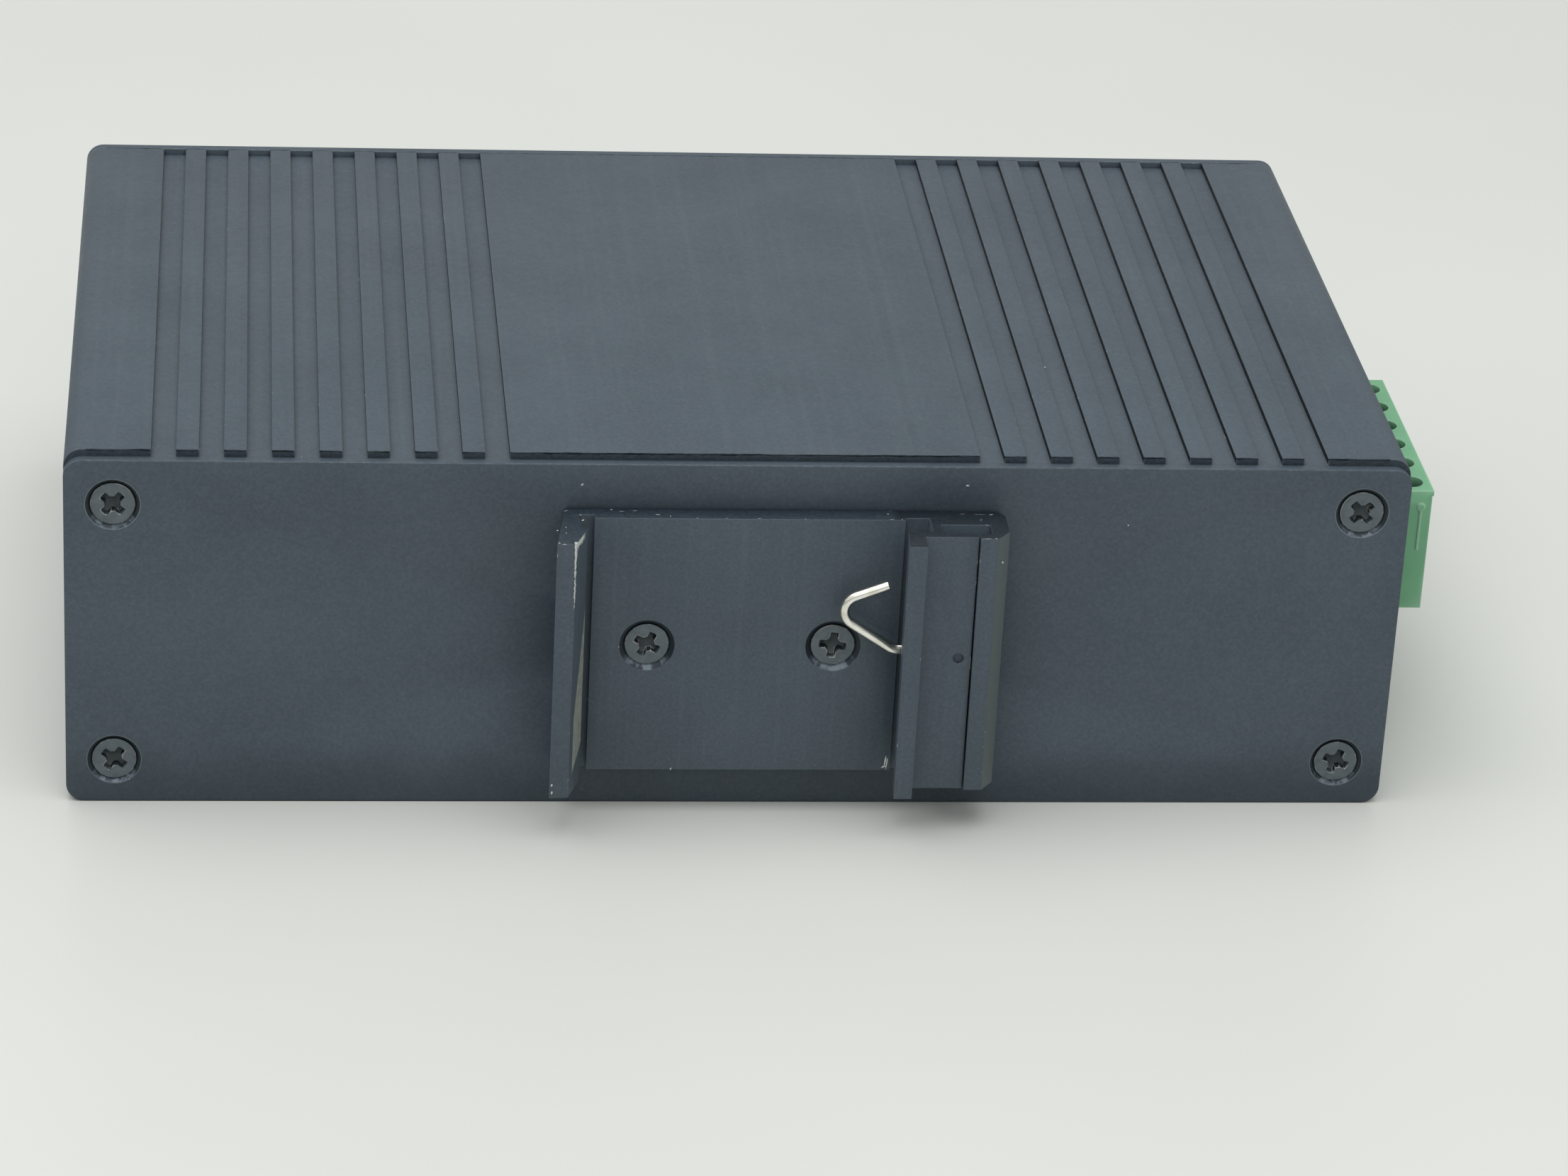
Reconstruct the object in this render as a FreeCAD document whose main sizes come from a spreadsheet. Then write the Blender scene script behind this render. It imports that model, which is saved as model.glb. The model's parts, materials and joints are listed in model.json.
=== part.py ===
"""DIN rail Ethernet switch with eight sockets, a rail clip and a pluggable power terminal.

Millimetres. The switch lies on its flat big face: +X runs along the housing to the terminal end,
+Y runs from the rear plate with the rail clip to the front plate with the sockets, and +Z is up.
The origin is the middle of the face that it rests on.
"""
import FreeCAD, Part
import math
import os
import re
import Sketcher

SIZES = [
    # housing
    ("housing_length", 143.5), ("housing_depth", 88.5), ("plate_height", 40.4),
    ("plate_thickness", 1.2), ("corner_radius", 2.0), ("plate_edge_radius", 0.15),
    ("end_wall", 2.2), ("face_wall", 1.8), ("land_height", 0.75),
    ("groove_width", 2.6), ("groove_pitch", 5.0), ("groove_margin", 9.15), ("groove_count", 8),
    ("boss_reach", 2.9), ("boss_rounding", 2.6), ("rib_reach", 1.5), ("rib_thickness", 1.2),
    # how far a cut starts or ends outside the solid that it goes through
    ("cut_room", 1.0),
    # fasteners
    ("screw_inset_x", 5.15), ("screw_inset_z", 5.1), ("screw_diameter", 3.0), ("head_diameter", 5.3),
    ("head_rim", 0.12), ("screw_point", 0.5), ("thread_clearance", 0.05), ("hole_clearance", 0.1),
    ("sink_diameter", 5.8), ("clip_sink_diameter", 6.0), ("plate_screw_length", 8.0),
    ("clip_screw_length", 6.0), ("channel_bevel", 0.3),
    ("cross_span", 2.9), ("cross_width", 0.9), ("cross_depth", 1.0),
    ("nut_diameter", 6.3), ("nut_height", 1.5), ("nut_collar", 4.2),
    # rail clip: sizes named "_out" are distances out from the rear plate
    ("clip_length", 30.0), ("clip_base_out", 2.25), ("hook_out", 8.9), ("clip_screw_spacing", 20.0),
    ("left_foot", 19.1), ("left_front", 20.35), ("strip_width", 2.0), ("strip_drop", 0.2),
    ("nose_reach", 16.9), ("nose_out", 4.8), ("left_pocket", 17.7), ("left_under_out", 4.4),
    ("left_relief_edge", 16.05), ("left_relief", 0.85),
    ("right_relief_edge", 17.0), ("right_relief", 0.45), ("right_pocket", 19.6), ("lip_under_out", 5.1),
    ("lip_front", 16.7), ("lip_width", 1.95), ("flap_out", 6.4), ("flap_thickness", 0.8),
    ("flap_end", 24.35), ("slit", 0.15), ("slot_web", 1.0), ("slot_floor_out", 3.35), ("slot_end", 25.9),
    ("guard_out", 6.8), ("guard_bevel_x", 1.4), ("guard_bevel_out", 1.8), ("right_side", 27.8),
    ("foot_radius", 1.5), ("stake_x", 23.0), ("stake_diameter", 1.2), ("stake_depth", 0.4),
    # wire spring
    ("wire_diameter", 1.1), ("wire_out", 4.2), ("wire_passage", 1.8), ("wire_leg_end", 24.0),
    ("wire_rise", 0.7), ("wire_bend_x", 16.2), ("apex_x", 8.65), ("apex_rise", 5.0),
    ("wire_tip_x", 15.4), ("wire_tip_rise", 7.55), ("apex_radius", 1.8), ("exit_radius", 1.8),
    # main board
    ("board_thickness", 1.6), ("board_drop", 4.6), ("board_side_gap", 0.2), ("board_end_gap", 0.5),
    ("board_slot_gap", 0.1),
    # socket banks
    ("port_pitch", 13.97), ("port_count", 4), ("bank_edge", 0.45), ("bank_gap", 1.2), ("bank_depth", 21.0),
    ("bank_height", 13.4), ("bank_stands_out", 0.4), ("shield_sheet", 0.3), ("window_gap", 0.2),
    ("plug_width", 11.9), ("plug_floor", 2.9), ("plug_height", 7.0), ("latch_width", 6.2),
    ("latch_height", 1.5), ("cavity_depth", 14.5), ("shield_lip", 0.15), ("insert_gap", 0.05),
    ("lamp_width", 2.3), ("lamp_height", 1.1), ("lamp_offset", 4.85), ("lamp_level", 11.55),
    ("lamp_depth", 3.0),
    ("contact_pitch", 1.02), ("contact_count", 8), ("contact_width", 0.45), ("contact_thickness", 0.3),
    ("comb_width", 8.6), ("comb_height", 2.0), ("comb_front", 2.2), ("comb_slot_end", 5.0),
    ("comb_end", 18.6),
    ("contact_foot", 18.2), ("contact_level", 1.1), ("contact_nose", 3.2), ("contact_rise", 0.6),
    ("contact_tip", 12.0), ("contact_tip_level", 5.1),
    # lamps beside the sockets
    ("status_inset", 9.45), ("status_pitch", 4.6), ("status_count", 3), ("status_diameter", 2.9),
    ("status_first", 3.6), ("holder_width", 4.4), ("holder_depth", 6.0), ("holder_wall", 1.9),
    ("status_dome", 0.8), ("status_shoulder", 0.5), ("status_gap", 0.15),
    # terminal block: sizes named "_rise" are heights above the board
    ("pole_pitch", 5.08), ("pole_count", 6), ("terminal_y", -12.45), ("plug_stands_out", 6.6),
    ("plug_rise", 0.3), ("plug_body_height", 14.4), ("plug_back", 0.55), ("terminal_gap", 0.3),
    ("plug_lip", 0.15), ("plug_lip_height", 0.6), ("plug_lip_depth", 1.5), ("plug_join", 0.5),
    ("tongue_rise", 1.55), ("tongue_height", 5.5), ("tongue_length", 8.9), ("tongue_margin", 0.3),
    ("entry_width", 3.6), ("entry_height", 3.9), ("entry_rise", 2.6), ("entry_depth", 5.2),
    ("well_diameter", 2.9), ("well_inset", 2.25), ("socket_width", 1.6), ("socket_depth", 8.2),
    ("key_diameter", 0.9), ("key_width", 0.25), ("key_height", 0.25), ("key_inset", 1.35), ("key_drop", 1.9),
    ("key_length", 5.3), ("key_root", 0.1),
    ("header_depth", 12.0), ("header_height", 8.6), ("header_back", 2.9),
    ("header_edge", 0.75), ("header_fit", 0.15), ("pin_width", 1.0), ("pin_rise", 4.3), ("pin_reach", 8.0),
    ("pin_leg_gap", 0.6), ("clamp_head_diameter", 2.5), ("clamp_head_height", 2.0), ("clamp_shank", 2.0),
    ("clamp_head_drop", 1.2), ("clamp_slot_width", 0.5), ("clamp_slot_depth", 0.8), ("cage_fit", 0.12),
    ("cage_wall", 0.5), ("cage_length", 3.6),
    # packages on the board: length along x, width along y, height, rounding of the upright edges
    ("switch_length", 14.0), ("switch_width", 14.0), ("switch_height", 1.4), ("switch_rounding", 0.4),
    ("memory_length", 5.2), ("memory_width", 4.9), ("memory_height", 1.6), ("memory_rounding", 0.3),
    ("crystal_length", 11.2), ("crystal_width", 4.6), ("crystal_height", 3.6), ("crystal_rounding", 1.8),
    ("relay_length", 15.0), ("relay_width", 7.6), ("relay_height", 10.0), ("relay_rounding", 0.5),
    ("fuse_length", 8.0), ("fuse_width", 3.4), ("fuse_height", 6.6), ("fuse_rounding", 1.4),
    ("regulator_length", 6.6), ("regulator_width", 6.1), ("regulator_height", 2.3),
    ("regulator_rounding", 0.4),
    ("transformer_length", 15.2), ("transformer_width", 7.1), ("transformer_height", 5.8),
    ("transformer_rounding", 0.5), ("transformer_gap", 3.45), ("transformer_count", 4),
    # round parts on the board
    ("inductor_diameter", 12.0), ("inductor_height", 7.0), ("inductor_flange", 1.2), ("inductor_waist", 7.0),
    ("inductor_taper", 0.7), ("can_diameter", 10.0), ("can_height", 12.6), ("can_edge", 0.4),
    ("can_groove", 1.9), ("can_groove_depth", 0.3), ("can_x", 8.0), ("can_pitch", 13.0),
    # places of the parts on the board
    ("power_inset_x", 26.75), ("regulator_inset_x", 43.75), ("inductor_inset_x", 46.75),
    ("fuse_inset_y", 8.55), ("power_inset_y", 12.55), ("inductor_inset_y", 28.55),
    ("switch_x", 6.0), ("switch_back", 14.65), ("memory_x", -14.0), ("memory_back", 8.65),
    ("crystal_x", -12.0), ("crystal_back", 20.65), ("relay_back", 11.65),
]

doc = FreeCAD.newDocument("din_rail_switch")
sheet = doc.addObject("Spreadsheet::Sheet", "Sizes")
for row, (name, number) in enumerate(SIZES, start=1):
    sheet.set(f"A{row}", name)
    sheet.set(f"B{row}", str(number))
    sheet.setAlias(f"B{row}", name)
doc.recompute()

NAMES = re.compile(r"\b(" + "|".join(name for name, number in SIZES) + r")\b")


def bound(words):
    """Turn a formula of plain size names into one that reads the sheet."""
    return NAMES.sub(r"Sizes.\1", str(words))


def size(words):
    """The present value of a formula of size names."""
    return float(sheet.evalExpression(bound(words)))


# ---------------------------------------------------------------- building blocks

def new_body(label, x="0", y="0", z="0"):
    """A body whose place follows the sheet."""
    body = doc.addObject("PartDesign::Body", label)
    body.Label = label
    for axis, words in zip("xyz", (x, y, z)):
        body.setExpression(f"Placement.Base.{axis}", bound(words))
    return body


def origin_plane(body, role):
    """One of the planes or axes of the body's own origin."""
    return [item for item in body.Origin.OriginFeatures if item.Role == role][0]


def new_sketch(body, role, level):
    """An empty sketch on one of the body's own planes, moved along the plane's normal to level."""
    sketch = body.newObject("Sketcher::SketchObject", body.Label + "_sketch")
    sketch.AttachmentSupport = [(origin_plane(body, role), "")]
    sketch.MapMode = "FlatFace"
    sketch.setExpression(".AttachmentOffset.Base.z", bound(level))
    return sketch


def pin_point(sketch, edge, end, x_words, y_words):
    """Hold one end (or the centre) of a sketch edge at a place given by two formulas."""
    for kind, words in (("DistanceX", x_words), ("DistanceY", y_words)):
        index = sketch.addConstraint(Sketcher.Constraint(kind, -1, 1, edge, end, size(words)))
        sketch.setExpression(f"Constraints[{index}]", bound(words))


def add_outline(sketch, corners):
    """A closed outline of straight lines through corners, each a pair of formulas."""
    points = [FreeCAD.Vector(size(x_words), size(y_words), 0) for x_words, y_words in corners]
    following = points[1:] + points[:1]
    lines = [sketch.addGeometry(Part.LineSegment(a, b), False) for a, b in zip(points, following)]
    for line, after in zip(lines, lines[1:] + lines[:1]):
        sketch.addConstraint(Sketcher.Constraint("Coincident", line, 2, after, 1))
    for line, (x_words, y_words) in zip(lines, corners):
        pin_point(sketch, line, 1, x_words, y_words)


def add_rectangle(sketch, left, right, low, high):
    """A closed rectangle between four formulas."""
    add_outline(sketch, [(left, low), (right, low), (right, high), (left, high)])


def add_circle(sketch, x_words, y_words, diameter):
    """A circle with its centre and diameter given by formulas."""
    centre = FreeCAD.Vector(size(x_words), size(y_words), 0)
    ring = sketch.addGeometry(Part.Circle(centre, FreeCAD.Vector(0, 0, 1), size(diameter) / 2), False)
    pin_point(sketch, ring, 3, x_words, y_words)
    index = sketch.addConstraint(Sketcher.Constraint("Diameter", ring, size(diameter)))
    sketch.setExpression(f"Constraints[{index}]", bound(diameter))


def pad(sketch, length, backwards=False):
    """Grow the sketch along its plane's normal, or against it."""
    body = sketch.getParentGeoFeatureGroup()
    feature = body.newObject("PartDesign::Pad", body.Label + "_pad")
    feature.Profile = sketch
    feature.setExpression("Length", bound(length))
    feature.Reversed = backwards
    return feature


def pocket(sketch, length, forwards=False):
    """Cut the sketch against its plane's normal, or along it. The cut has to take some volume."""
    body = sketch.getParentGeoFeatureGroup()
    doc.recompute()
    before = body.Shape.Volume
    feature = body.newObject("PartDesign::Pocket", body.Label + "_pocket")
    feature.Profile = sketch
    feature.setExpression("Length", bound(length))
    feature.Reversed = forwards
    doc.recompute()
    if not feature.Shape.Volume < before:
        raise RuntimeError(body.Label + ": a pocket cuts nothing")
    return feature


def row_of(feature, role, pitch, count, backwards=False):
    """Repeat a feature along one of its body's axes."""
    body = feature.getParentGeoFeatureGroup()
    pattern = body.newObject("PartDesign::LinearPattern", body.Label + "_row")
    pattern.Originals = [feature]
    pattern.Direction = (origin_plane(body, role), [""])
    pattern.Reversed = backwards
    pattern.setExpression("Length", bound(f"({pitch}) * (({count}) - 1)"))
    pattern.setExpression("Occurrences", bound(count))
    body.Tip = pattern
    doc.recompute()
    return pattern


def countersunk(sketch, sink, forwards=False):
    """Clearance holes with a right-angled countersink at each circle of the sketch."""
    body = sketch.getParentGeoFeatureGroup()
    doc.recompute()
    hole = body.newObject("PartDesign::Hole", body.Label + "_hole")
    hole.Profile = sketch
    hole.DepthType = "ThroughAll"
    hole.HoleCutType = "Countersink"
    hole.HoleCutCountersinkAngle = 90
    hole.setExpression("Diameter", bound("screw_diameter + 2 * hole_clearance"))
    hole.setExpression("HoleCutDiameter", bound(sink))
    hole.Reversed = forwards
    doc.recompute()
    return hole


def dress_edges(body, kind, measure, words, chosen):
    """Fillet or chamfer the edges of the body's last feature for which chosen(edge) is true."""
    doc.recompute()
    base = body.Tip
    names = [f"Edge{i}" for i, edge in enumerate(base.Shape.Edges, start=1) if chosen(edge)]
    feature = body.newObject("PartDesign::" + kind, body.Label + "_" + kind.lower())
    feature.Base = (base, names)
    feature.setExpression(measure, bound(words))
    doc.recompute()
    return feature


def round_edges(body, radius, chosen):
    """Round the chosen edges of the body's last feature."""
    return dress_edges(body, "Fillet", "Radius", radius, chosen)


def bevel_edges(body, width, chosen):
    """Bevel the chosen edges of the body's last feature."""
    return dress_edges(body, "Chamfer", "Size", width, chosen)


def is_ring(edge, radius):
    """True for an edge that lies on a circle of the given radius."""
    return edge.Curve.TypeId == "Part::GeomCircle" and abs(edge.Curve.Radius - radius) < 0.001


def runs_along(edge, axis):
    """True for a straight edge parallel to the given axis, 0, 1 or 2."""
    if len(edge.Vertexes) < 2 or edge.Curve.TypeId != "Part::GeomLine":
        return False
    direction = edge.Vertexes[1].Point - edge.Vertexes[0].Point
    return abs(direction[axis]) > 0.999 * direction.Length


def at_level(edge, axis, value):
    """True for an edge whose every point lies at one value along an axis."""
    ends = [vertex.Point[axis] for vertex in edge.Vertexes] + [edge.CenterOfMass[axis]]
    return max(abs(end - value) for end in ends) < 0.001


def copies(label, source, places):
    """One node that holds a copy of a source solid at each placement."""
    doc.recompute()
    group = doc.addObject("Part::Feature", label)
    group.Label = label
    solid = source.Shape
    group.Shape = Part.makeCompound([solid.transformed(place.toMatrix(), True) for place in places])
    return group


def place_at(x, y, z, angle=0.0, axis=(0, 1, 0)):
    """A placement at a point, turned by an angle in degrees about an axis through it."""
    return FreeCAD.Placement(FreeCAD.Vector(x, y, z), FreeCAD.Rotation(FreeCAD.Vector(*axis), angle))


# ---------------------------------------------------------------- housing

RIGHT = "housing_length / 2"
REAR = "-housing_depth / 2"
TOP = "plate_height + land_height"
SCREW_X = "(housing_length / 2 - screw_inset_x)"
SCREW_LOW = "screw_inset_z"
SCREW_HIGH = "(plate_height - screw_inset_z)"
BOARD_TOP = "(plate_height / 2 - board_drop)"
BOARD_REAR = "(plate_thickness + board_end_gap - housing_depth / 2)"
BANK_WIDTH = "(port_count * port_pitch + 2 * bank_edge)"
BANK_CENTRE = f"(({BANK_WIDTH} + bank_gap) / 2)"
TERMINAL_HALF = "(pole_pitch * pole_count / 2)"
STATUS_X = "(status_inset - housing_length / 2)"


def corner_boss(sketch, side, low, high):
    """The square fill in one corner of the tube that carries a screw channel."""
    inner = f"{side} * ({SCREW_X} - boss_reach)"
    outer = f"{side} * (housing_length / 2 - end_wall / 2)"
    add_rectangle(sketch, inner, outer, low, high)


def make_sleeve():
    """The extruded tube: rounded outline, eight grooves each side, screw channels, board slots."""
    body = new_body("housing_sleeve")
    start = "housing_depth / 2 - plate_thickness"
    run = "housing_depth - 2 * plate_thickness"

    outline = new_sketch(body, "XZ_Plane", start)
    add_rectangle(outline, f"-{RIGHT}", RIGHT, "0", TOP)
    pad(outline, run, backwards=True)
    round_edges(body, "corner_radius", lambda edge: runs_along(edge, 1))

    hollow = new_sketch(body, "XZ_Plane", start)
    add_rectangle(hollow, f"-{RIGHT} + end_wall", f"{RIGHT} - end_wall",
                  "face_wall", "plate_height - face_wall")
    pocket(hollow, run)

    for side in (-1, 1):
        bosses = new_sketch(body, "XZ_Plane", start)
        corner_boss(bosses, side, "face_wall / 2", f"{SCREW_LOW} + boss_reach")
        corner_boss(bosses, side, f"{SCREW_HIGH} - boss_reach", "plate_height - face_wall / 2")
        pad(bosses, run, backwards=True)
    inner_corner = size(f"{SCREW_X} - boss_reach")
    levels = (size(f"{SCREW_LOW} + boss_reach"), size(f"{SCREW_HIGH} - boss_reach"))

    def is_boss_corner(edge):
        middle = edge.CenterOfMass
        beside = abs(abs(middle.x) - inner_corner) < 0.001
        return runs_along(edge, 1) and beside and min(abs(middle.z - level) for level in levels) < 0.001

    round_edges(body, "boss_rounding", is_boss_corner)

    for side in (-1, 1):
        ribs = new_sketch(body, "XZ_Plane", start)
        foot = f"{side} * ({RIGHT} - end_wall / 2)"
        tip = f"{side} * ({RIGHT} - end_wall - rib_reach)"
        above = f"{BOARD_TOP} + board_slot_gap"
        below = f"{BOARD_TOP} - board_thickness - board_slot_gap"
        add_rectangle(ribs, foot, tip, above, f"{above} + rib_thickness")
        add_rectangle(ribs, foot, tip, f"{below} - rib_thickness", below)
        pad(ribs, run, backwards=True)

    channels = new_sketch(body, "XZ_Plane", start)
    for side in (-1, 1):
        for level in (SCREW_LOW, SCREW_HIGH):
            add_circle(channels, f"{side} * {SCREW_X}", level, "screw_diameter + 2 * thread_clearance")
    pocket(channels, run)
    bore = size("screw_diameter / 2 + thread_clearance")
    bevel_edges(body, "channel_bevel", lambda edge: is_ring(edge, bore))

    for side in (-1, 1):
        groove = new_sketch(body, "XZ_Plane", start)
        near = f"{side} * ({RIGHT} - groove_margin)"
        far = f"{side} * ({RIGHT} - groove_margin - groove_width)"
        add_rectangle(groove, near, far, "plate_height", f"{TOP} + cut_room")
        row_of(pocket(groove, run), "X_Axis", "groove_pitch", "groove_count", backwards=side > 0)

    window = new_sketch(body, "YZ_Plane", f"{RIGHT} + cut_room")
    reach = f"({TERMINAL_HALF} + header_edge - tongue_margin + terminal_gap)"
    above_plug = f"{BOARD_TOP} + plug_rise + plug_body_height + terminal_gap"
    add_rectangle(window, f"terminal_y - {reach}", f"terminal_y + {reach}",
                  f"{BOARD_TOP} - terminal_gap", above_plug)
    pocket(window, "end_wall + rib_reach + 2 * cut_room")
    return body


def make_rear_plate():
    """The flat plate at the clip end, level with the floors of the grooves."""
    body = new_body("rear_plate")
    outline = new_sketch(body, "XZ_Plane", f"-({REAR})")
    add_rectangle(outline, f"-{RIGHT}", RIGHT, "0", "plate_height")
    pad(outline, "plate_thickness", backwards=True)
    round_edges(body, "corner_radius", lambda edge: runs_along(edge, 1))
    round_edges(body, "plate_edge_radius", lambda edge: at_level(edge, 1, size(REAR)))
    corners = new_sketch(body, "XZ_Plane", f"-({REAR})")
    for side in (-1, 1):
        for level in (SCREW_LOW, SCREW_HIGH):
            add_circle(corners, f"{side} * {SCREW_X}", level, "screw_diameter")
    countersunk(corners, "sink_diameter")
    nuts = new_sketch(body, "XZ_Plane", f"-({REAR})")
    for side in (-1, 1):
        add_circle(nuts, f"{side} * clip_screw_spacing / 2", "plate_height / 2", "nut_collar")
    pocket(nuts, "plate_thickness")
    return body


def make_front_plate():
    """The plate at the socket end, level with the lands between the grooves."""
    body = new_body("front_plate")
    face = "-housing_depth / 2"
    outline = new_sketch(body, "XZ_Plane", face)
    add_rectangle(outline, f"-{RIGHT}", RIGHT, "0", TOP)
    pad(outline, "plate_thickness")
    round_edges(body, "corner_radius", lambda edge: runs_along(edge, 1))
    round_edges(body, "plate_edge_radius", lambda edge: at_level(edge, 1, size("housing_depth / 2")))
    corners = new_sketch(body, "XZ_Plane", face)
    for side in (-1, 1):
        for level in (SCREW_LOW, SCREW_HIGH):
            add_circle(corners, f"{side} * {SCREW_X}", level, "screw_diameter")
    countersunk(corners, "sink_diameter", forwards=True)
    windows = new_sketch(body, "XZ_Plane", face)
    for side in (-1, 1):
        inner = f"{side} * ({BANK_CENTRE} - {BANK_WIDTH} / 2 - window_gap)"
        outer = f"{side} * ({BANK_CENTRE} + {BANK_WIDTH} / 2 + window_gap)"
        add_rectangle(windows, inner, outer, f"{BOARD_TOP} - window_gap",
                      f"{BOARD_TOP} + bank_height + window_gap")
    for number in range(int(size("status_count"))):
        level = f"{BOARD_TOP} + status_first + {number} * status_pitch"
        add_circle(windows, STATUS_X, level, "status_diameter + 2 * status_gap")
    pocket(windows, "plate_thickness", forwards=True)
    return body


# ---------------------------------------------------------------- fasteners

def make_screw(label, length):
    """A countersunk cross-head screw: head at the origin, shank along +Y."""
    body = new_body(label)
    half = new_sketch(body, "XY_Plane", "0")
    cone = "(head_diameter - screw_diameter) / 2"
    add_outline(half, [("0", "0"), ("head_diameter / 2", "0"), ("head_diameter / 2", "head_rim"),
                       ("screw_diameter / 2", f"{cone} + head_rim"),
                       ("screw_diameter / 2", f"{length} - screw_point"),
                       ("screw_diameter / 2 - screw_point", length), ("0", length)])
    turned = body.newObject("PartDesign::Revolution", label + "_turned")
    turned.Profile = half
    turned.ReferenceAxis = (half, ["V_Axis"])
    turned.Angle = 360
    cross = new_sketch(body, "XZ_Plane", "0")
    arm, cheek = "cross_span / 2", "cross_width / 2"
    corners = [(arm, f"-{cheek}"), (arm, cheek), (cheek, cheek), (cheek, arm),
               (f"-{cheek}", arm), (f"-{cheek}", cheek), (f"-{arm}", cheek), (f"-{arm}", f"-{cheek}"),
               (f"-{cheek}", f"-{cheek}"), (f"-{cheek}", f"-{arm}"), (cheek, f"-{arm}"), (cheek, f"-{cheek}")]
    add_outline(cross, corners)
    pocket(cross, "cross_depth")
    return body


def make_plate_screws():
    """Four screws at each end of the housing, sunk until their cones meet the countersinks."""
    screw = make_screw("plate_screw_pattern", "plate_screw_length")
    depth = size("housing_depth / 2 - (sink_diameter - head_diameter) / 2 + head_rim")
    x, low, high = size(SCREW_X), size(SCREW_LOW), size(SCREW_HIGH)
    spots = [(-x, low, 8), (x, low, 24), (-x, high, 40), (x, high, 52)]
    rear = [place_at(px, -depth, pz, turn) for px, pz, turn in spots]
    half_turn = FreeCAD.Placement(FreeCAD.Vector(), FreeCAD.Rotation(FreeCAD.Vector(0, 0, 1), 180))
    front = [half_turn.multiply(place_at(px, -depth, pz, turn)) for px, pz, turn in spots]
    copies("rear_plate_screws", screw, rear)
    copies("front_plate_screws", screw, front)


def make_clip_screws():
    """Two screws through the clip's base into the nuts behind the rear plate."""
    screw = make_screw("clip_screw_pattern", "clip_screw_length")
    depth = size("housing_depth / 2 + clip_base_out - (clip_sink_diameter - head_diameter) / 2 + head_rim")
    half = size("clip_screw_spacing / 2")
    level = size("plate_height / 2")
    copies("clip_screws", screw, [place_at(-half, -depth, level, 30), place_at(half, -depth, level, 12)])


def make_clip_nuts():
    """Two round press-in nuts: a collar in the plate and a barrel inside the housing."""
    nut = new_body("clip_nut_pattern")
    half = new_sketch(nut, "XY_Plane", "0")
    bore = "screw_diameter / 2 + thread_clearance"
    end = "plate_thickness + nut_height"
    add_outline(half, [(bore, "0"), ("nut_collar / 2", "0"), ("nut_collar / 2", "plate_thickness"),
                       ("nut_diameter / 2", "plate_thickness"), ("nut_diameter / 2", end), (bore, end)])
    turned = nut.newObject("PartDesign::Revolution", "clip_nut_turned")
    turned.Profile = half
    turned.ReferenceAxis = (half, ["V_Axis"])
    turned.Angle = 360
    x, y, z = size("clip_screw_spacing / 2"), size(REAR), size("plate_height / 2")
    copies("clip_nuts", nut, [place_at(-x, y, z), place_at(x, y, z)])


# ---------------------------------------------------------------- rail clip

WIRE_LEVEL = "(plate_height / 2 + wire_rise)"


def make_clip():
    """The rail clip: one extrusion whose profile has a barbed hook, a lipped hook and a wire slot."""
    body = new_body("din_clip", y=REAR)
    profile = new_sketch(body, "XY_Plane", "plate_height / 2 - clip_length / 2")
    strip_end = "-left_front + strip_width"
    flap_under = "flap_out - flap_thickness"
    guard_left = "flap_end + slit"
    slot_start = "right_pocket + slot_web"
    outline = [
        ("-left_foot", "0"),
        ("-left_front", "hook_out"),
        (strip_end, "hook_out - strip_drop"),
        ("-nose_reach", "nose_out"),
        ("-left_pocket", "left_under_out"),
        ("-left_pocket", "clip_base_out - left_relief"),
        ("-left_relief_edge", "clip_base_out - left_relief"),
        ("-left_relief_edge", "clip_base_out"),
        ("right_relief_edge", "clip_base_out"),
        ("right_relief_edge", "clip_base_out - right_relief"),
        ("right_pocket", "clip_base_out - right_relief"),
        ("right_pocket", "lip_under_out"),
        ("right_relief_edge", "lip_under_out"),
        ("lip_front", "hook_out"),
        ("lip_front + lip_width", "hook_out"),
        ("lip_front + lip_width", "flap_out"),
        ("flap_end", "flap_out"),
        ("flap_end", flap_under),
        (slot_start, flap_under),
        (slot_start, "slot_floor_out"),
        ("slot_end", "slot_floor_out"),
        ("slot_end", flap_under),
        (guard_left, flap_under),
        (guard_left, "guard_out"),
        ("right_side - guard_bevel_x", "guard_out"),
        ("right_side", "guard_out - guard_bevel_out"),
        ("right_side", "0"),
    ]
    add_outline(profile, [(across, f"-({out})") for across, out in outline])
    pad(profile, "clip_length")
    foot = size("right_side")
    round_edges(body, "foot_radius", lambda edge: runs_along(edge, 2)
                and abs(edge.CenterOfMass.x - foot) < 0.001 and abs(edge.CenterOfMass.y) < 0.001)

    holes = new_sketch(body, "XZ_Plane", "clip_base_out")
    for side in (-1, 1):
        add_circle(holes, f"{side} * clip_screw_spacing / 2", "plate_height / 2", "screw_diameter")
    countersunk(holes, "clip_sink_diameter")

    passage = new_sketch(body, "YZ_Plane", slot_start)
    add_rectangle(passage, "-wire_out - wire_passage / 2", "-wire_out + wire_passage / 2",
                  f"{WIRE_LEVEL} - wire_passage / 2", f"{WIRE_LEVEL} + wire_passage / 2")
    pocket(passage, "slot_web")

    stake = new_sketch(body, "XZ_Plane", "flap_out")
    add_circle(stake, "stake_x", WIRE_LEVEL, "stake_diameter")
    pocket(stake, "stake_depth")
    return body


def rounded_path(corners, radii):
    """Edges of straight runs through corners, joined by tangent arcs of the given radii."""
    edges = []
    start = corners[0]
    for before, corner, after, radius in zip(corners, corners[1:], corners[2:], radii):
        back = (before - corner).normalize()
        ahead = (after - corner).normalize()
        half_angle = back.getAngle(ahead) / 2
        setback = radius / math.tan(half_angle)
        first, last = corner + back * setback, corner + ahead * setback
        middle = corner + (back + ahead).normalize() * (radius / math.sin(half_angle) - radius)
        edges.append(Part.LineSegment(start, first).toShape())
        edges.append(Part.Arc(first, middle, last).toShape())
        start = last
    edges.append(Part.LineSegment(start, corners[-1]).toShape())
    return edges


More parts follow.
